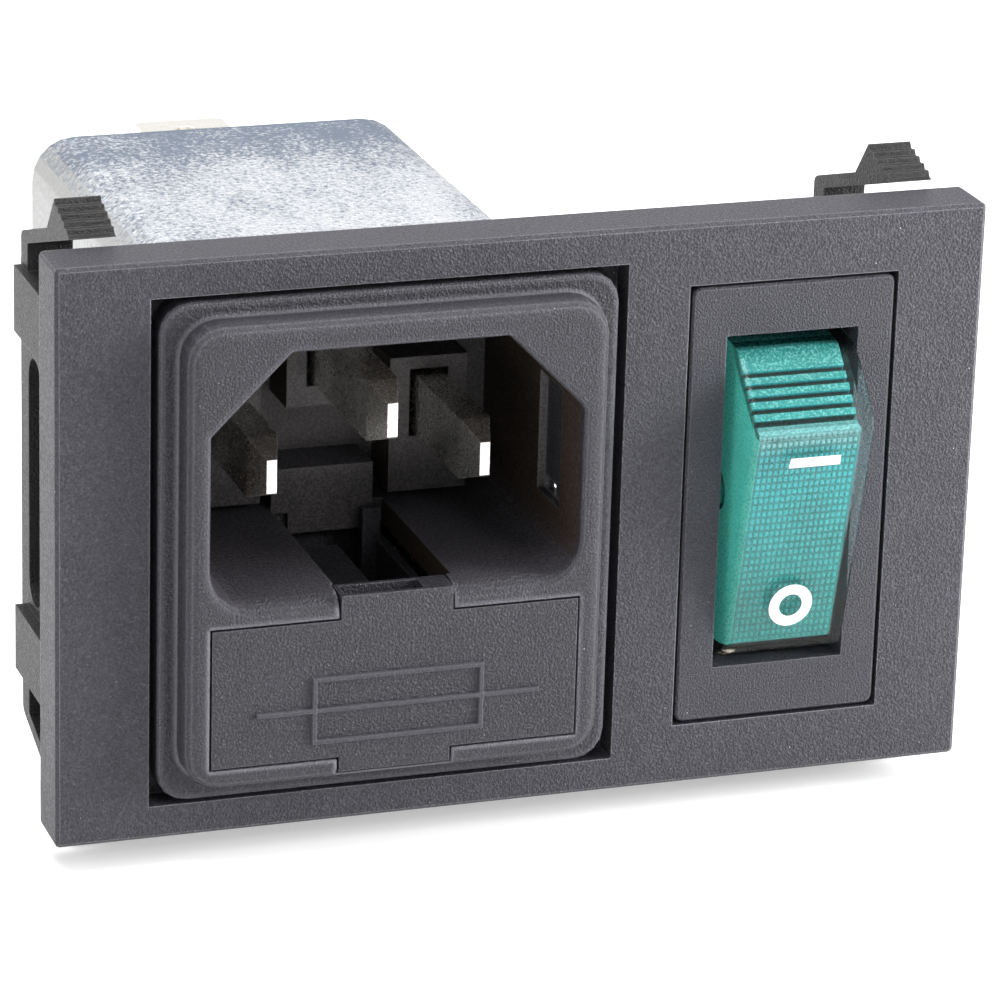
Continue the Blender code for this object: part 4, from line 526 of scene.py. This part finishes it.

# The fuse symbol: a long box on a line, drawn with ridges a fifth of a millimetre high.
# The ridges are coloured lighter than the face they are moulded with: a painted highlight on them.
SYMBOL_LIT_DARK = (0.034, 0.033, 0.040)
SYMBOL_LIT_PALE = (0.070, 0.068, 0.080)
RIDGE_WIDTH = 0.00040
RIDGE_HEIGHT = 0.00020
SYMBOL_LEFT, SYMBOL_RIGHT = -0.02282, -0.01186
SYMBOL_TOP, SYMBOL_BOTTOM = -0.00832, -0.01250
SYMBOL_MIDDLE = -0.01038
LEAD_LEFT, LEAD_RIGHT = -0.02660, -0.00800
LEAD_HEIGHT = RIDGE_HEIGHT * 0.93
drawer_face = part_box("fuse_drawer")[0].y


def raise_ridge(build, path, closed, face_y, width, height):
    """A thin ridge with sloping flanks, along a path on a face that looks along -Y."""
    flanks = ((0.5, -0.1), (0.42, 0.6), (0.24, 1.0), (-0.24, 1.0), (-0.42, 0.6), (-0.5, -0.1))
    points = [Vector(point) for point in path]
    rows = []
    for i, here in enumerate(points):
        behind_it, after_it = points[i - 1], points[(i + 1) % len(points)]
        if not closed and i == 0:
            behind_it = here * 2 - after_it
        if not closed and i == len(points) - 1:
            after_it = here * 2 - behind_it
        going = (here - behind_it).normalized() + (after_it - here).normalized()
        mitre = Vector((-going.y, going.x)) * 2 / going.length_squared
        rows.append([build.verts.new((here.x + mitre.x * across * width, face_y - lift * height,
                                      here.y + mitre.y * across * width)) for across, lift in flanks])
    pairs = list(zip(rows, rows[1:]))
    if closed:
        pairs.append((rows[-1], rows[0]))
    else:
        build.faces.new(rows[0])
        build.faces.new(rows[-1][::-1])
    for first, second in pairs:
        for i in range(len(flanks)):
            j = (i + 1) % len(flanks)
            build.faces.new((first[i], first[j], second[j], second[i]))


symbol_build = bmesh.new()
raise_ridge(symbol_build, [(SYMBOL_LEFT, SYMBOL_TOP), (SYMBOL_RIGHT, SYMBOL_TOP),
                           (SYMBOL_RIGHT, SYMBOL_BOTTOM), (SYMBOL_LEFT, SYMBOL_BOTTOM)],
            True, drawer_face, RIDGE_WIDTH, RIDGE_HEIGHT)
raise_ridge(symbol_build, [(LEAD_LEFT, SYMBOL_MIDDLE), (LEAD_RIGHT, SYMBOL_MIDDLE)],
            False, drawer_face, RIDGE_WIDTH, LEAD_HEIGHT)
bmesh.ops.recalc_face_normals(symbol_build, faces=symbol_build.faces)
symbol_mesh = bpy.data.meshes.new("fuse_symbol")
symbol_build.to_mesh(symbol_mesh)
symbol_build.free()
fuse_symbol = bpy.data.objects.new("fuse_symbol", symbol_mesh)
scene.collection.objects.link(fuse_symbol)
symbol_plastic = moulded_plastic("symbol_plastic", SYMBOL_LIT_DARK, SYMBOL_LIT_PALE, DRAWER_EDGE_HIGHLIGHT, specks=0.02,
                                 relief=0.000010, width=0.00008)
symbol_mesh.materials.append(symbol_plastic)
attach(fuse_symbol, "drawer")

# Fuses and their contacts
# Two glass tube fuses: a drawn nickel-plated cap on each end, a tinned wire through the tube. Bowed
# bronze leaves on the bay's roof press on the caps.
cap_nickel = plated_metal("cap_nickel", (0.80, 0.78, 0.74), (0.62, 0.60, 0.56), 0.14, 0.28)
put_on(cap_nickel, "line_fuse_front_cap", "line_fuse_rear_cap", "neutral_fuse_front_cap",
       "neutral_fuse_rear_cap")
wire_tin = plated_metal("wire_tin", (0.76, 0.60, 0.48), (0.60, 0.44, 0.33), 0.25, 0.4)
put_on(wire_tin, "line_fuse_wire", "neutral_fuse_wire")
leaf_bronze = plated_metal("leaf_bronze", (0.74, 0.56, 0.33), (0.56, 0.40, 0.22), 0.22, 0.36)
put_on(leaf_bronze, "line_front_contact", "line_rear_contact", "neutral_front_contact",
       "neutral_rear_contact")


def clear_material(name, tint, roughness, ior, cloud_scale, cloud_depth):
    """Clear glass or plastic that lets light through to what it covers."""
    material, tree, shader = new_material(name)
    shader.inputs["IOR"].default_value = ior
    shader.inputs["Transmission Weight"].default_value = 1.0
    cloud = add_noise(tree, object_place(tree), cloud_scale)
    cloudy = tuple(channel * 0.97 for channel in tint)
    tree.links.new(add_mix(tree, cloud, tint, cloudy), shader.inputs["Base Color"])
    rough = add_range(tree, cloud, 0.35, 0.65, roughness * 0.6, roughness * 1.4)
    tree.links.new(rough, shader.inputs["Roughness"])
    tree.links.new(add_bump(tree, cloud, cloud_depth), shader.inputs["Normal"])

    # Shadows and soft light pass straight through.
    sight = tree.nodes.new("ShaderNodeLightPath")
    passing = tree.nodes.new("ShaderNodeBsdfTransparent")
    passing.inputs["Color"].default_value = (*tint, 1.0)
    choice = tree.nodes.new("ShaderNodeMixShader")
    dim = add_math(tree, "MAXIMUM", sight.outputs["Is Shadow Ray"], sight.outputs["Is Diffuse Ray"])
    tree.links.new(dim, choice.inputs["Fac"])
    tree.links.new(shader.outputs[0], choice.inputs[1])
    tree.links.new(passing.outputs[0], choice.inputs[2])
    tree.links.new(choice.outputs[0], tree.nodes["Material Output"].inputs["Surface"])
    return material


fuse_glass = clear_material("fuse_glass", (0.93, 0.97, 0.96), 0.02, 1.5, 300.0, 0.000002)
put_on(fuse_glass, "line_fuse_glass", "neutral_fuse_glass")

# Filter can
# A deep-drawn steel can, hot-dip zinc plated. The zinc froze in small spangles that catch the light,
# drawing has dragged it down the sides, and handling has scuffed the top.
ZINC_PALE = (0.93, 0.94, 0.96)
ZINC_DULL = (0.18, 0.21, 0.26)
ZINC_SCRATCH = (0.90, 0.92, 0.94)
ZINC_SIDE_SHADE_PALE = (0.74, 0.74, 0.72)
ZINC_SIDE_SHADE_DULL = (0.20, 0.20, 0.20)
ZINC_SHEEN = (0.62, 0.63, 0.65)
FLAKE_SCALE = 1900.0
FLAKE_BEND = 0.0012
PATCH_SCALE = 150.0
FINE_SCALE = 3000.0
SCRATCH_SCALE = 2600.0
REAR_DARKENING_SPAN = (0.020, 0.0345)
REAR_EDGE_SPAN = (0.0350, 0.0362)
CAN_ROUND = 0.0003
CAN_RELIEF = 0.0001


def make_zinc_spangle():
    """Frozen zinc: patches and small flakes of slightly different grey, with scuffs."""
    tree, given, out = new_effect(
        "zinc_spangle", [("Pale", "colour"), ("Dull", "colour"), ("Darkening", "value"), ("Scuffs", "value")],
        [("Colour", "colour"), ("Roughness", "value"), ("Height", "value")])
    place = object_place(tree)
    bend = add_noise(tree, place, 700.0, 3.0, 0.6)
    shifted = tree.nodes.new("ShaderNodeVectorMath")
    shifted.operation = "MULTIPLY_ADD"
    shifted.inputs[1].default_value = (FLAKE_BEND,) * 3
    tree.links.new(bend, shifted.inputs[0])
    tree.links.new(place, shifted.inputs[2])
    flakes = tree.nodes.new("ShaderNodeTexVoronoi")
    flakes.inputs["Scale"].default_value = FLAKE_SCALE
    tree.links.new(shifted.outputs[0], flakes.inputs["Vector"])
    split = tree.nodes.new("ShaderNodeSeparateColor")
    tree.links.new(flakes.outputs["Color"], split.inputs[0])
    drawn = tree.nodes.new("ShaderNodeMapping")
    drawn.inputs["Scale"].default_value = (1.0, 0.45, 1.0)
    tree.links.new(shifted.outputs[0], drawn.inputs["Vector"])
    patches = add_noise(tree, drawn.outputs[0], PATCH_SCALE, 5.0, 0.68)
    fine = add_noise(tree, place, FINE_SCALE, 3.0, 0.8)
    share = add_math(tree, "MULTIPLY_ADD", patches, 1.0, add_math(tree, "MULTIPLY", split.outputs[0], 0.10))
    share = add_math(tree, "MULTIPLY_ADD", fine, 1.9, share)
    share = add_math(tree, "ADD", share, given.outputs["Darkening"])
    share = add_range(tree, share, 1.34, 1.84)
    colour = add_mix(tree, share, given.outputs["Pale"], given.outputs["Dull"])
    scratch_place = tree.nodes.new("ShaderNodeMapping")
    scratch_place.inputs["Rotation"].default_value = (0.0, 0.0, 0.6)
    scratch_place.inputs["Scale"].default_value = (1.0, 0.10, 1.0)
    tree.links.new(place, scratch_place.inputs["Vector"])
    scratch = add_noise(tree, scratch_place.outputs[0], SCRATCH_SCALE, 1.0)
    scratch = add_range(tree, scratch, 0.66, 0.72)
    patch = add_range(tree, add_noise(tree, place, 140.0), 0.48, 0.62, smooth=True)
    scuff = add_math(tree, "MULTIPLY", add_math(tree, "MULTIPLY", scratch, patch), given.outputs["Scuffs"])
    tree.links.new(add_mix(tree, scuff, colour, ZINC_SCRATCH), out.inputs["Colour"])
    tree.links.new(add_range(tree, share, 0.0, 1.0, 0.30, 0.50), out.inputs["Roughness"])
    height = add_math(tree, "MULTIPLY_ADD", split.outputs[1], 0.4, fine)
    tree.links.new(add_math(tree, "MULTIPLY_ADD", scuff, 0.8, height), out.inputs["Height"])
    return tree


zinc_spangle = make_zinc_spangle()
can_zinc, tree, shader = new_material("can_zinc")
spangle = use_effect(tree, zinc_spangle, Pale=ZINC_PALE, Dull=ZINC_DULL, Scuffs=0.3)
# The top is made darker towards the rear and along its rear edge.
depth = place_axes(tree)["Y"]
rear_darkening = add_range(tree, depth, *REAR_DARKENING_SPAN, 0.0, 0.34, smooth=True)
rear_edge_darkening = add_range(tree, depth, *REAR_EDGE_SPAN, 0.0, 0.3)
tree.links.new(add_math(tree, "ADD", rear_darkening, rear_edge_darkening), spangle.inputs["Darkening"])
# The sides are given a darker zinc than the top: painted shade.
side_wall = add_range(tree, facing_axes(tree)["Z"], 0.92, 0.55)
side_colour = add_mix(tree, spangle.outputs["Roughness"], ZINC_SIDE_SHADE_PALE, ZINC_SIDE_SHADE_DULL)
can_colour = add_mix(tree, side_wall, spangle.outputs["Colour"], side_colour)
edge = use_effect(tree, rounded_edge, Width=CAN_ROUND)
tree.links.new(can_colour, shader.inputs["Base Color"])
tree.links.new(spangle.outputs["Roughness"], shader.inputs["Roughness"])
shader.inputs["Metallic"].default_value = 1.0
shader.inputs["Specular Tint"].default_value = (*ZINC_SHEEN, 1.0)
tree.links.new(add_bump(tree, spangle.outputs["Height"], CAN_RELIEF, edge.outputs["Normal"]),
               shader.inputs["Normal"])
put_on(can_zinc, "filter_can")

# Rear terminals
# Tinned brass blades that push-on receptacles slide over. Two stand in a black moulded bush in the
# can's end, and the earth blade is riveted to the can by its foot.
BUSH_BLACK = (0.030, 0.030, 0.033)
BUSH_PALE = (0.060, 0.060, 0.066)
BUSH_EDGE_HIGHLIGHT = (0.12, 0.12, 0.125)
black_moulded = moulded_plastic("black_moulded", BUSH_BLACK, BUSH_PALE, BUSH_EDGE_HIGHLIGHT, grain=1.2, specks=0.02,
                                relief=0.000006)
put_on(black_moulded, "terminal_bush")
blade_tin = plated_metal("blade_tin", (0.90, 0.88, 0.83), (0.70, 0.68, 0.62), 0.2, 0.4)
put_on(blade_tin, "line_blade", "neutral_blade", "earth_blade", "earth_rivet")

# Filter parts inside the can
# A glass-laminate board with a ferrite ring wound in copper, a potted capacitor, two lacquered disc
# capacitors and a bleed resistor.
LAMINATE_DARK = (0.06, 0.17, 0.06)
LAMINATE_PALE = (0.10, 0.24, 0.09)
laminate, tree, shader = new_material("board_laminate")
weave = tree.nodes.new("ShaderNodeTexWave")
weave.inputs["Scale"].default_value = 900.0
weave.inputs["Distortion"].default_value = 1.5
tree.links.new(object_place(tree), weave.inputs["Vector"])
weave_colour = add_mix(tree, weave.outputs["Fac"], LAMINATE_DARK, LAMINATE_PALE)
tree.links.new(weave_colour, shader.inputs["Base Color"])
shader.inputs["Roughness"].default_value = 0.35
tree.links.new(add_bump(tree, weave.outputs["Fac"], 0.000004), shader.inputs["Normal"])
put_on(laminate, "filter_board")


def dipped(name, dark, light, scale, roughness, relief):
    """Ferrite, lacquer or potting: a cloudy colour with a slightly uneven skin."""
    material, tree, shader = new_material(name)
    cloud = add_noise(tree, object_place(tree), scale, 4.0, 0.6)
    colour = add_mix(tree, add_range(tree, cloud, 0.35, 0.65), dark, light)
    tree.links.new(colour, shader.inputs["Base Color"])
    rough = add_range(tree, cloud, 0.3, 0.7, roughness * 0.8, roughness * 1.2)
    tree.links.new(rough, shader.inputs["Roughness"])
    tree.links.new(add_bump(tree, cloud, relief), shader.inputs["Normal"])
    return material


ferrite = dipped("core_ferrite", (0.05, 0.05, 0.055), (0.12, 0.12, 0.125), 2500.0, 0.6, 0.00001)
put_on(ferrite, "choke_core")
winding_copper = plated_metal("winding_copper", (0.72, 0.35, 0.16), (0.50, 0.21, 0.09), 0.28, 0.4)
put_on(winding_copper, "line_winding", "neutral_winding")
case_yellow = dipped("case_yellow", (0.62, 0.48, 0.05), (0.78, 0.62, 0.10), 700.0, 0.35, 0.000006)
put_on(case_yellow, "x_capacitor")
disc_blue = dipped("disc_blue", (0.08, 0.20, 0.48), (0.14, 0.30, 0.62), 800.0, 0.3, 0.000008)
put_on(disc_blue, "line_y_capacitor", "neutral_y_capacitor")
resistor_tan = dipped("resistor_tan", (0.58, 0.46, 0.28), (0.72, 0.60, 0.40), 900.0, 0.4, 0.000006)
put_on(resistor_tan, "bleed_resistor")

# Switch body
# The switch's face and body are one charcoal moulding, a shade smoother than the frame. A black lid
# closes its back and holds four silvered blades.
INSERT_DARK = (0.023, 0.023, 0.029)
INSERT_PALE = (0.058, 0.057, 0.069)
INSERT_EDGE_HIGHLIGHT = (0.16, 0.16, 0.18)
insert_plastic = moulded_plastic("insert_plastic", INSERT_DARK, INSERT_PALE, INSERT_EDGE_HIGHLIGHT, grain=1.1,
                                 specks=0.02)
put_on(insert_plastic, "switch_insert")
put_on(black_moulded, "switch_base")
tab_silver = plated_metal("tab_silver", (0.82, 0.76, 0.64), (0.66, 0.56, 0.40), 0.18, 0.34)
put_on(tab_silver, "line_feed_tab", "line_load_tab", "neutral_feed_tab", "neutral_load_tab")
bar_copper = plated_metal("bar_copper", (0.74, 0.42, 0.24), (0.58, 0.30, 0.16), 0.22, 0.36)
put_on(bar_copper, "line_contact_bar", "neutral_contact_bar")

# Rocker
# A clear polished cap snapped over a green translucent lens. The lens's front is cut in a fine grid
# that spreads the lamp's light, five grooves run across its upper slope, and the signs are printed white.
GREEN_DEEP = (0.002, 0.090, 0.080)
GREEN_LIT = (0.015, 0.335, 0.360)
GREEN_LOW = (0.008, 0.225, 0.210)
GREEN_SLOPE_SHADE = (0.032, 0.245, 0.235)
GREEN_SIDE_LIT = (0.080, 0.500, 0.420)
GREEN_SHOULDER_HIGHLIGHT = (0.160, 0.365, 0.375)
GREEN_GROOVE_SHADE = (0.001, 0.035, 0.032)
GREEN_GLINT = (0.30, 0.62, 0.60)
LENS_SIDE_PAINTED_GLOW = 0.20
LENS_SHEEN = 0.15
GRID_X = 0.00037
GRID_Z = 0.00050
GRID_TOP = (0.0062, 0.0054)
LIT_FROM, LIT_TO = 0.002, -0.008
SHOULDER_FOOT = (0.0042, 0.0054)
SHOULDER_TOP = (0.0066, 0.0058)
SLOPE_TOP = 0.00955
SLOPE_FOOT = 0.0055
SLOPE_WAY = (-0.70, 0.715)
GROOVE_REACH = 0.00065
LEFT_FACE = (-0.3, -0.8)
lens_green, tree, shader = new_material("lens_green")
place = place_axes(tree)
facing = facing_axes(tree)


def grid_line(value, pitch):
    """Rounded ribs across a coordinate, 0 in the groove and 1 on the crest."""
    wave = add_math(tree, "SINE", add_math(tree, "MULTIPLY", value, 2 * math.pi / pitch))
    return add_range(tree, wave, -1.0, 0.4, smooth=True)


ribs = add_math(tree, "MULTIPLY", grid_line(place["X"], GRID_X), grid_line(place["Z"], GRID_Z))
front_part = add_math(tree, "MULTIPLY", add_range(tree, place["Z"], *GRID_TOP),
                      add_range(tree, facing["Y"], -0.80, -0.92))
cut_in = add_math(tree, "MULTIPLY", add_math(tree, "SUBTRACT", 1.0, ribs), front_part)
cloud = add_noise(tree, object_place(tree), 420.0, 3.0, 0.55)
speckle = add_noise(tree, object_place(tree), 6500.0, 2.0, 0.6)
# Where the grid is cut in, the green goes towards the deep green: painted shade in its grooves. The cloud and
# speckle vary the lens's own tone.
share = add_math(tree, "MULTIPLY_ADD", cut_in, -0.62, add_range(tree, cloud, 0.3, 0.7, 0.78, 1.0))
share = add_math(tree, "ADD", share, add_range(tree, speckle, 0.35, 0.65, -0.16, 0.12))

# The green is lighter and bluer at the top of the front, a painted light. It is paler and darker on the
# slope, a painted shade, and paler and lighter on the shoulder, a painted highlight, and on the left side, a
# painted light.
lit = add_mix(tree, add_range(tree, place["Z"], LIT_FROM, LIT_TO), GREEN_LIT, GREEN_LOW)
on_slope = add_range(tree, facing["Z"], 0.2, 0.5)
lit = add_mix(tree, on_slope, lit, GREEN_SLOPE_SHADE)
shoulder = add_math(tree, "MULTIPLY", add_range(tree, place["Z"], *SHOULDER_FOOT, smooth=True),
                    add_range(tree, place["Z"], *SHOULDER_TOP, smooth=True))
lit = add_mix(tree, shoulder, lit, GREEN_SHOULDER_HIGHLIGHT)
left_side = add_range(tree, facing["X"], *LEFT_FACE)
lit = add_mix(tree, left_side, lit, GREEN_SIDE_LIT)

# The grooves are painted dark from a little below the plane of the slope: painted shade in them.
off_slope = add_math(tree, "MULTIPLY_ADD", place["Y"], SLOPE_WAY[0],
                     add_math(tree, "MULTIPLY", place["Z"], SLOPE_WAY[1]))
groove_shade = add_math(tree, "MULTIPLY", add_range(tree, off_slope, SLOPE_TOP - 0.00012, SLOPE_TOP - 0.00030),
                     add_math(tree, "GREATER_THAN", off_slope, SLOPE_TOP - GROOVE_REACH))
groove_shade = add_math(tree, "MULTIPLY", groove_shade, add_math(tree, "GREATER_THAN", place["Z"], SLOPE_FOOT))
lens_colour = add_mix(tree, share, GREEN_DEEP, lit)
# Painted glints on the slope.
glints = add_math(tree, "MULTIPLY", add_range(tree, speckle, 0.50, 0.66, 0.0, 0.5), on_slope)
lens_colour = add_mix(tree, glints, lens_colour, GREEN_GLINT)
tree.links.new(add_mix(tree, groove_shade, lens_colour, GREEN_GROOVE_SHADE), shader.inputs["Base Color"])
# The left side is also made to glow faintly in its green: painted light.
tree.links.new(add_mix(tree, left_side, (0.0, 0.0, 0.0), GREEN_SIDE_LIT), shader.inputs["Emission Color"])
shader.inputs["Emission Strength"].default_value = LENS_SIDE_PAINTED_GLOW
shader.inputs["Specular IOR Level"].default_value = LENS_SHEEN
tree.links.new(add_range(tree, speckle, 0.3, 0.7, 0.18, 0.38), shader.inputs["Roughness"])
shader.inputs["Subsurface Weight"].default_value = 0.25
shader.inputs["Subsurface Radius"].default_value = (0.2, 1.0, 0.9)
shader.inputs["Subsurface Scale"].default_value = 0.0006
lens_relief = add_math(tree, "MULTIPLY_ADD", cut_in, -1.0, add_math(tree, "MULTIPLY", speckle, 0.5))
tree.links.new(add_bump(tree, lens_relief, 0.00004), shader.inputs["Normal"])
put_on(lens_green, "rocker_lens")

# The clear cap. It barely bends what lies under it, is faintly cloudy, and its polished skin shines.
cover_clear = clear_material("cover_clear", (0.96, 0.99, 0.985), 0.04, 1.03, 260.0, 0.000003)
shader = cover_clear.node_tree.nodes["Principled BSDF"]
shader.inputs["Coat Weight"].default_value = 0.4
shader.inputs["Coat IOR"].default_value = 1.5
shader.inputs["Coat Roughness"].default_value = 0.08
put_on(cover_clear, "rocker_cover")

# The on and off signs, printed in white on the cap's front, which leans back towards its foot.
SIGN_TOP = Vector((0.0, -0.0085, 0.0059))
SIGN_FOOT = Vector((0.0, -0.00505, -0.0091))
SIGN_THICK = 0.00002
BAR_X, BAR_Z = (0.00771, 0.01115), (0.00367, 0.00434)
BAR_LEAN = 0.00004
RING_X, RING_Z = 0.00925, -0.00661
RING_OUTER, RING_INNER = (0.00148, 0.00157), (0.00078, 0.00084)
RING_STEPS = 56
down_face = (SIGN_FOOT - SIGN_TOP).normalized()
out_of_face = Vector((0.0, down_face.z, -down_face.y))


def on_cap(x, z, lift):
    """A point on the cap's sloping front at a height, raised off it by the lift."""
    along = (z - SIGN_TOP.z) / down_face.z
    return Vector((x, 0.0, 0.0)) + SIGN_TOP + down_face * along + out_of_face * lift


def print_sign(name, outer, inner=()):
    """A thin print with the outline given, as points (x, z); the inner outline is left out of it."""
    build = bmesh.new()
    levels = []
    for lift in (SIGN_THICK * 0.2, SIGN_THICK):
        levels.append([[build.verts.new(on_cap(x, z, lift)) for x, z in ring] for ring in (outer, inner)])
    (low_outer, low_inner), (high_outer, high_inner) = levels
    count = len(outer)
    for i in range(count):
        j = (i + 1) % count
        build.faces.new((low_outer[i], low_outer[j], high_outer[j], high_outer[i]))
        if inner:
            build.faces.new((low_inner[j], low_inner[i], high_inner[i], high_inner[j]))
            build.faces.new((high_outer[i], high_outer[j], high_inner[j], high_inner[i]))
            build.faces.new((low_outer[j], low_outer[i], low_inner[i], low_inner[j]))
    if not inner:
        build.faces.new(high_outer)
        build.faces.new(low_outer[::-1])
    bmesh.ops.recalc_face_normals(build, faces=build.faces)
    mesh = bpy.data.meshes.new(name)
    build.to_mesh(mesh)
    build.free()
    made = bpy.data.objects.new(name, mesh)
    scene.collection.objects.link(made)
    mesh.materials.append(sign_white)
    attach(made, "rocker")


def ring_points(radii):
    """A ring's outline on the leaning face, as points (x, z), a little taller than wide."""
    turns = [2 * math.pi * i / RING_STEPS for i in range(RING_STEPS)]
    return [(RING_X + radii[0] * math.cos(a), RING_Z - down_face.z * radii[1] * math.sin(a)) for a in turns]


sign_white, tree, shader = new_material("sign_white")
ink = add_noise(tree, object_place(tree), 3800.0, 3.0, 0.6)
tree.links.new(add_mix(tree, ink, (0.78, 0.80, 0.80), (0.93, 0.94, 0.94)), shader.inputs["Base Color"])
tree.links.new(add_range(tree, ink, 0.3, 0.7, 0.42, 0.60), shader.inputs["Roughness"])
tree.links.new(add_bump(tree, ink, 0.000002), shader.inputs["Normal"])
print_sign("on_sign", [(BAR_X[0] - BAR_LEAN, BAR_Z[0]), (BAR_X[1], BAR_Z[0]),
                       (BAR_X[1], BAR_Z[1]), (BAR_X[0] + BAR_LEAN, BAR_Z[1])])
print_sign("off_sign", ring_points(RING_OUTER), ring_points(RING_INNER))

# Behind the cap: the black carrier, whose axle ends are green, nylon plungers on steel springs, the lamp
# and its resistor.
CARRIER_BLACK = (0.018, 0.018, 0.020)
CARRIER_PALE = (0.040, 0.040, 0.043)
AXLE_GREEN = (0.02, 0.20, 0.16)
AXLE_FROM = 0.0025
carrier_black, tree, shader = new_material("carrier_black")
lens_low, lens_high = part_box("rocker_lens")
switch_x = (lens_low.x + lens_high.x) / 2
off_middle = add_math(tree, "ABSOLUTE", add_math(tree, "SUBTRACT", place_axes(tree)["X"], switch_x))
axle_end = add_math(tree, "GREATER_THAN", off_middle, AXLE_FROM)
grain = add_noise(tree, object_place(tree), 3000.0)
carrier_colour = add_mix(tree, grain, CARRIER_BLACK, CARRIER_PALE)
tree.links.new(add_mix(tree, axle_end, carrier_colour, AXLE_GREEN), shader.inputs["Base Color"])
tree.links.new(add_range(tree, grain, 0.3, 0.7, 0.38, 0.55), shader.inputs["Roughness"])
tree.links.new(add_bump(tree, grain, 0.000006), shader.inputs["Normal"])
put_on(carrier_black, "rocker_carrier")
nylon = dipped("nylon_natural", (0.68, 0.67, 0.62), (0.78, 0.77, 0.73), 1500.0, 0.4, 0.000004)
put_on(nylon, "line_plunger", "neutral_plunger")
spring_steel = plated_metal("spring_steel", (0.72, 0.72, 0.73), (0.52, 0.52, 0.54), 0.2, 0.32)
put_on(spring_steel, "line_spring", "neutral_spring")
lamp_glass = clear_material("lamp_glass", (0.97, 0.93, 0.88), 0.03, 1.5, 260.0, 0.000003)
put_on(lamp_glass, "neon_lamp")
put_on(resistor_tan, "lamp_resistor")
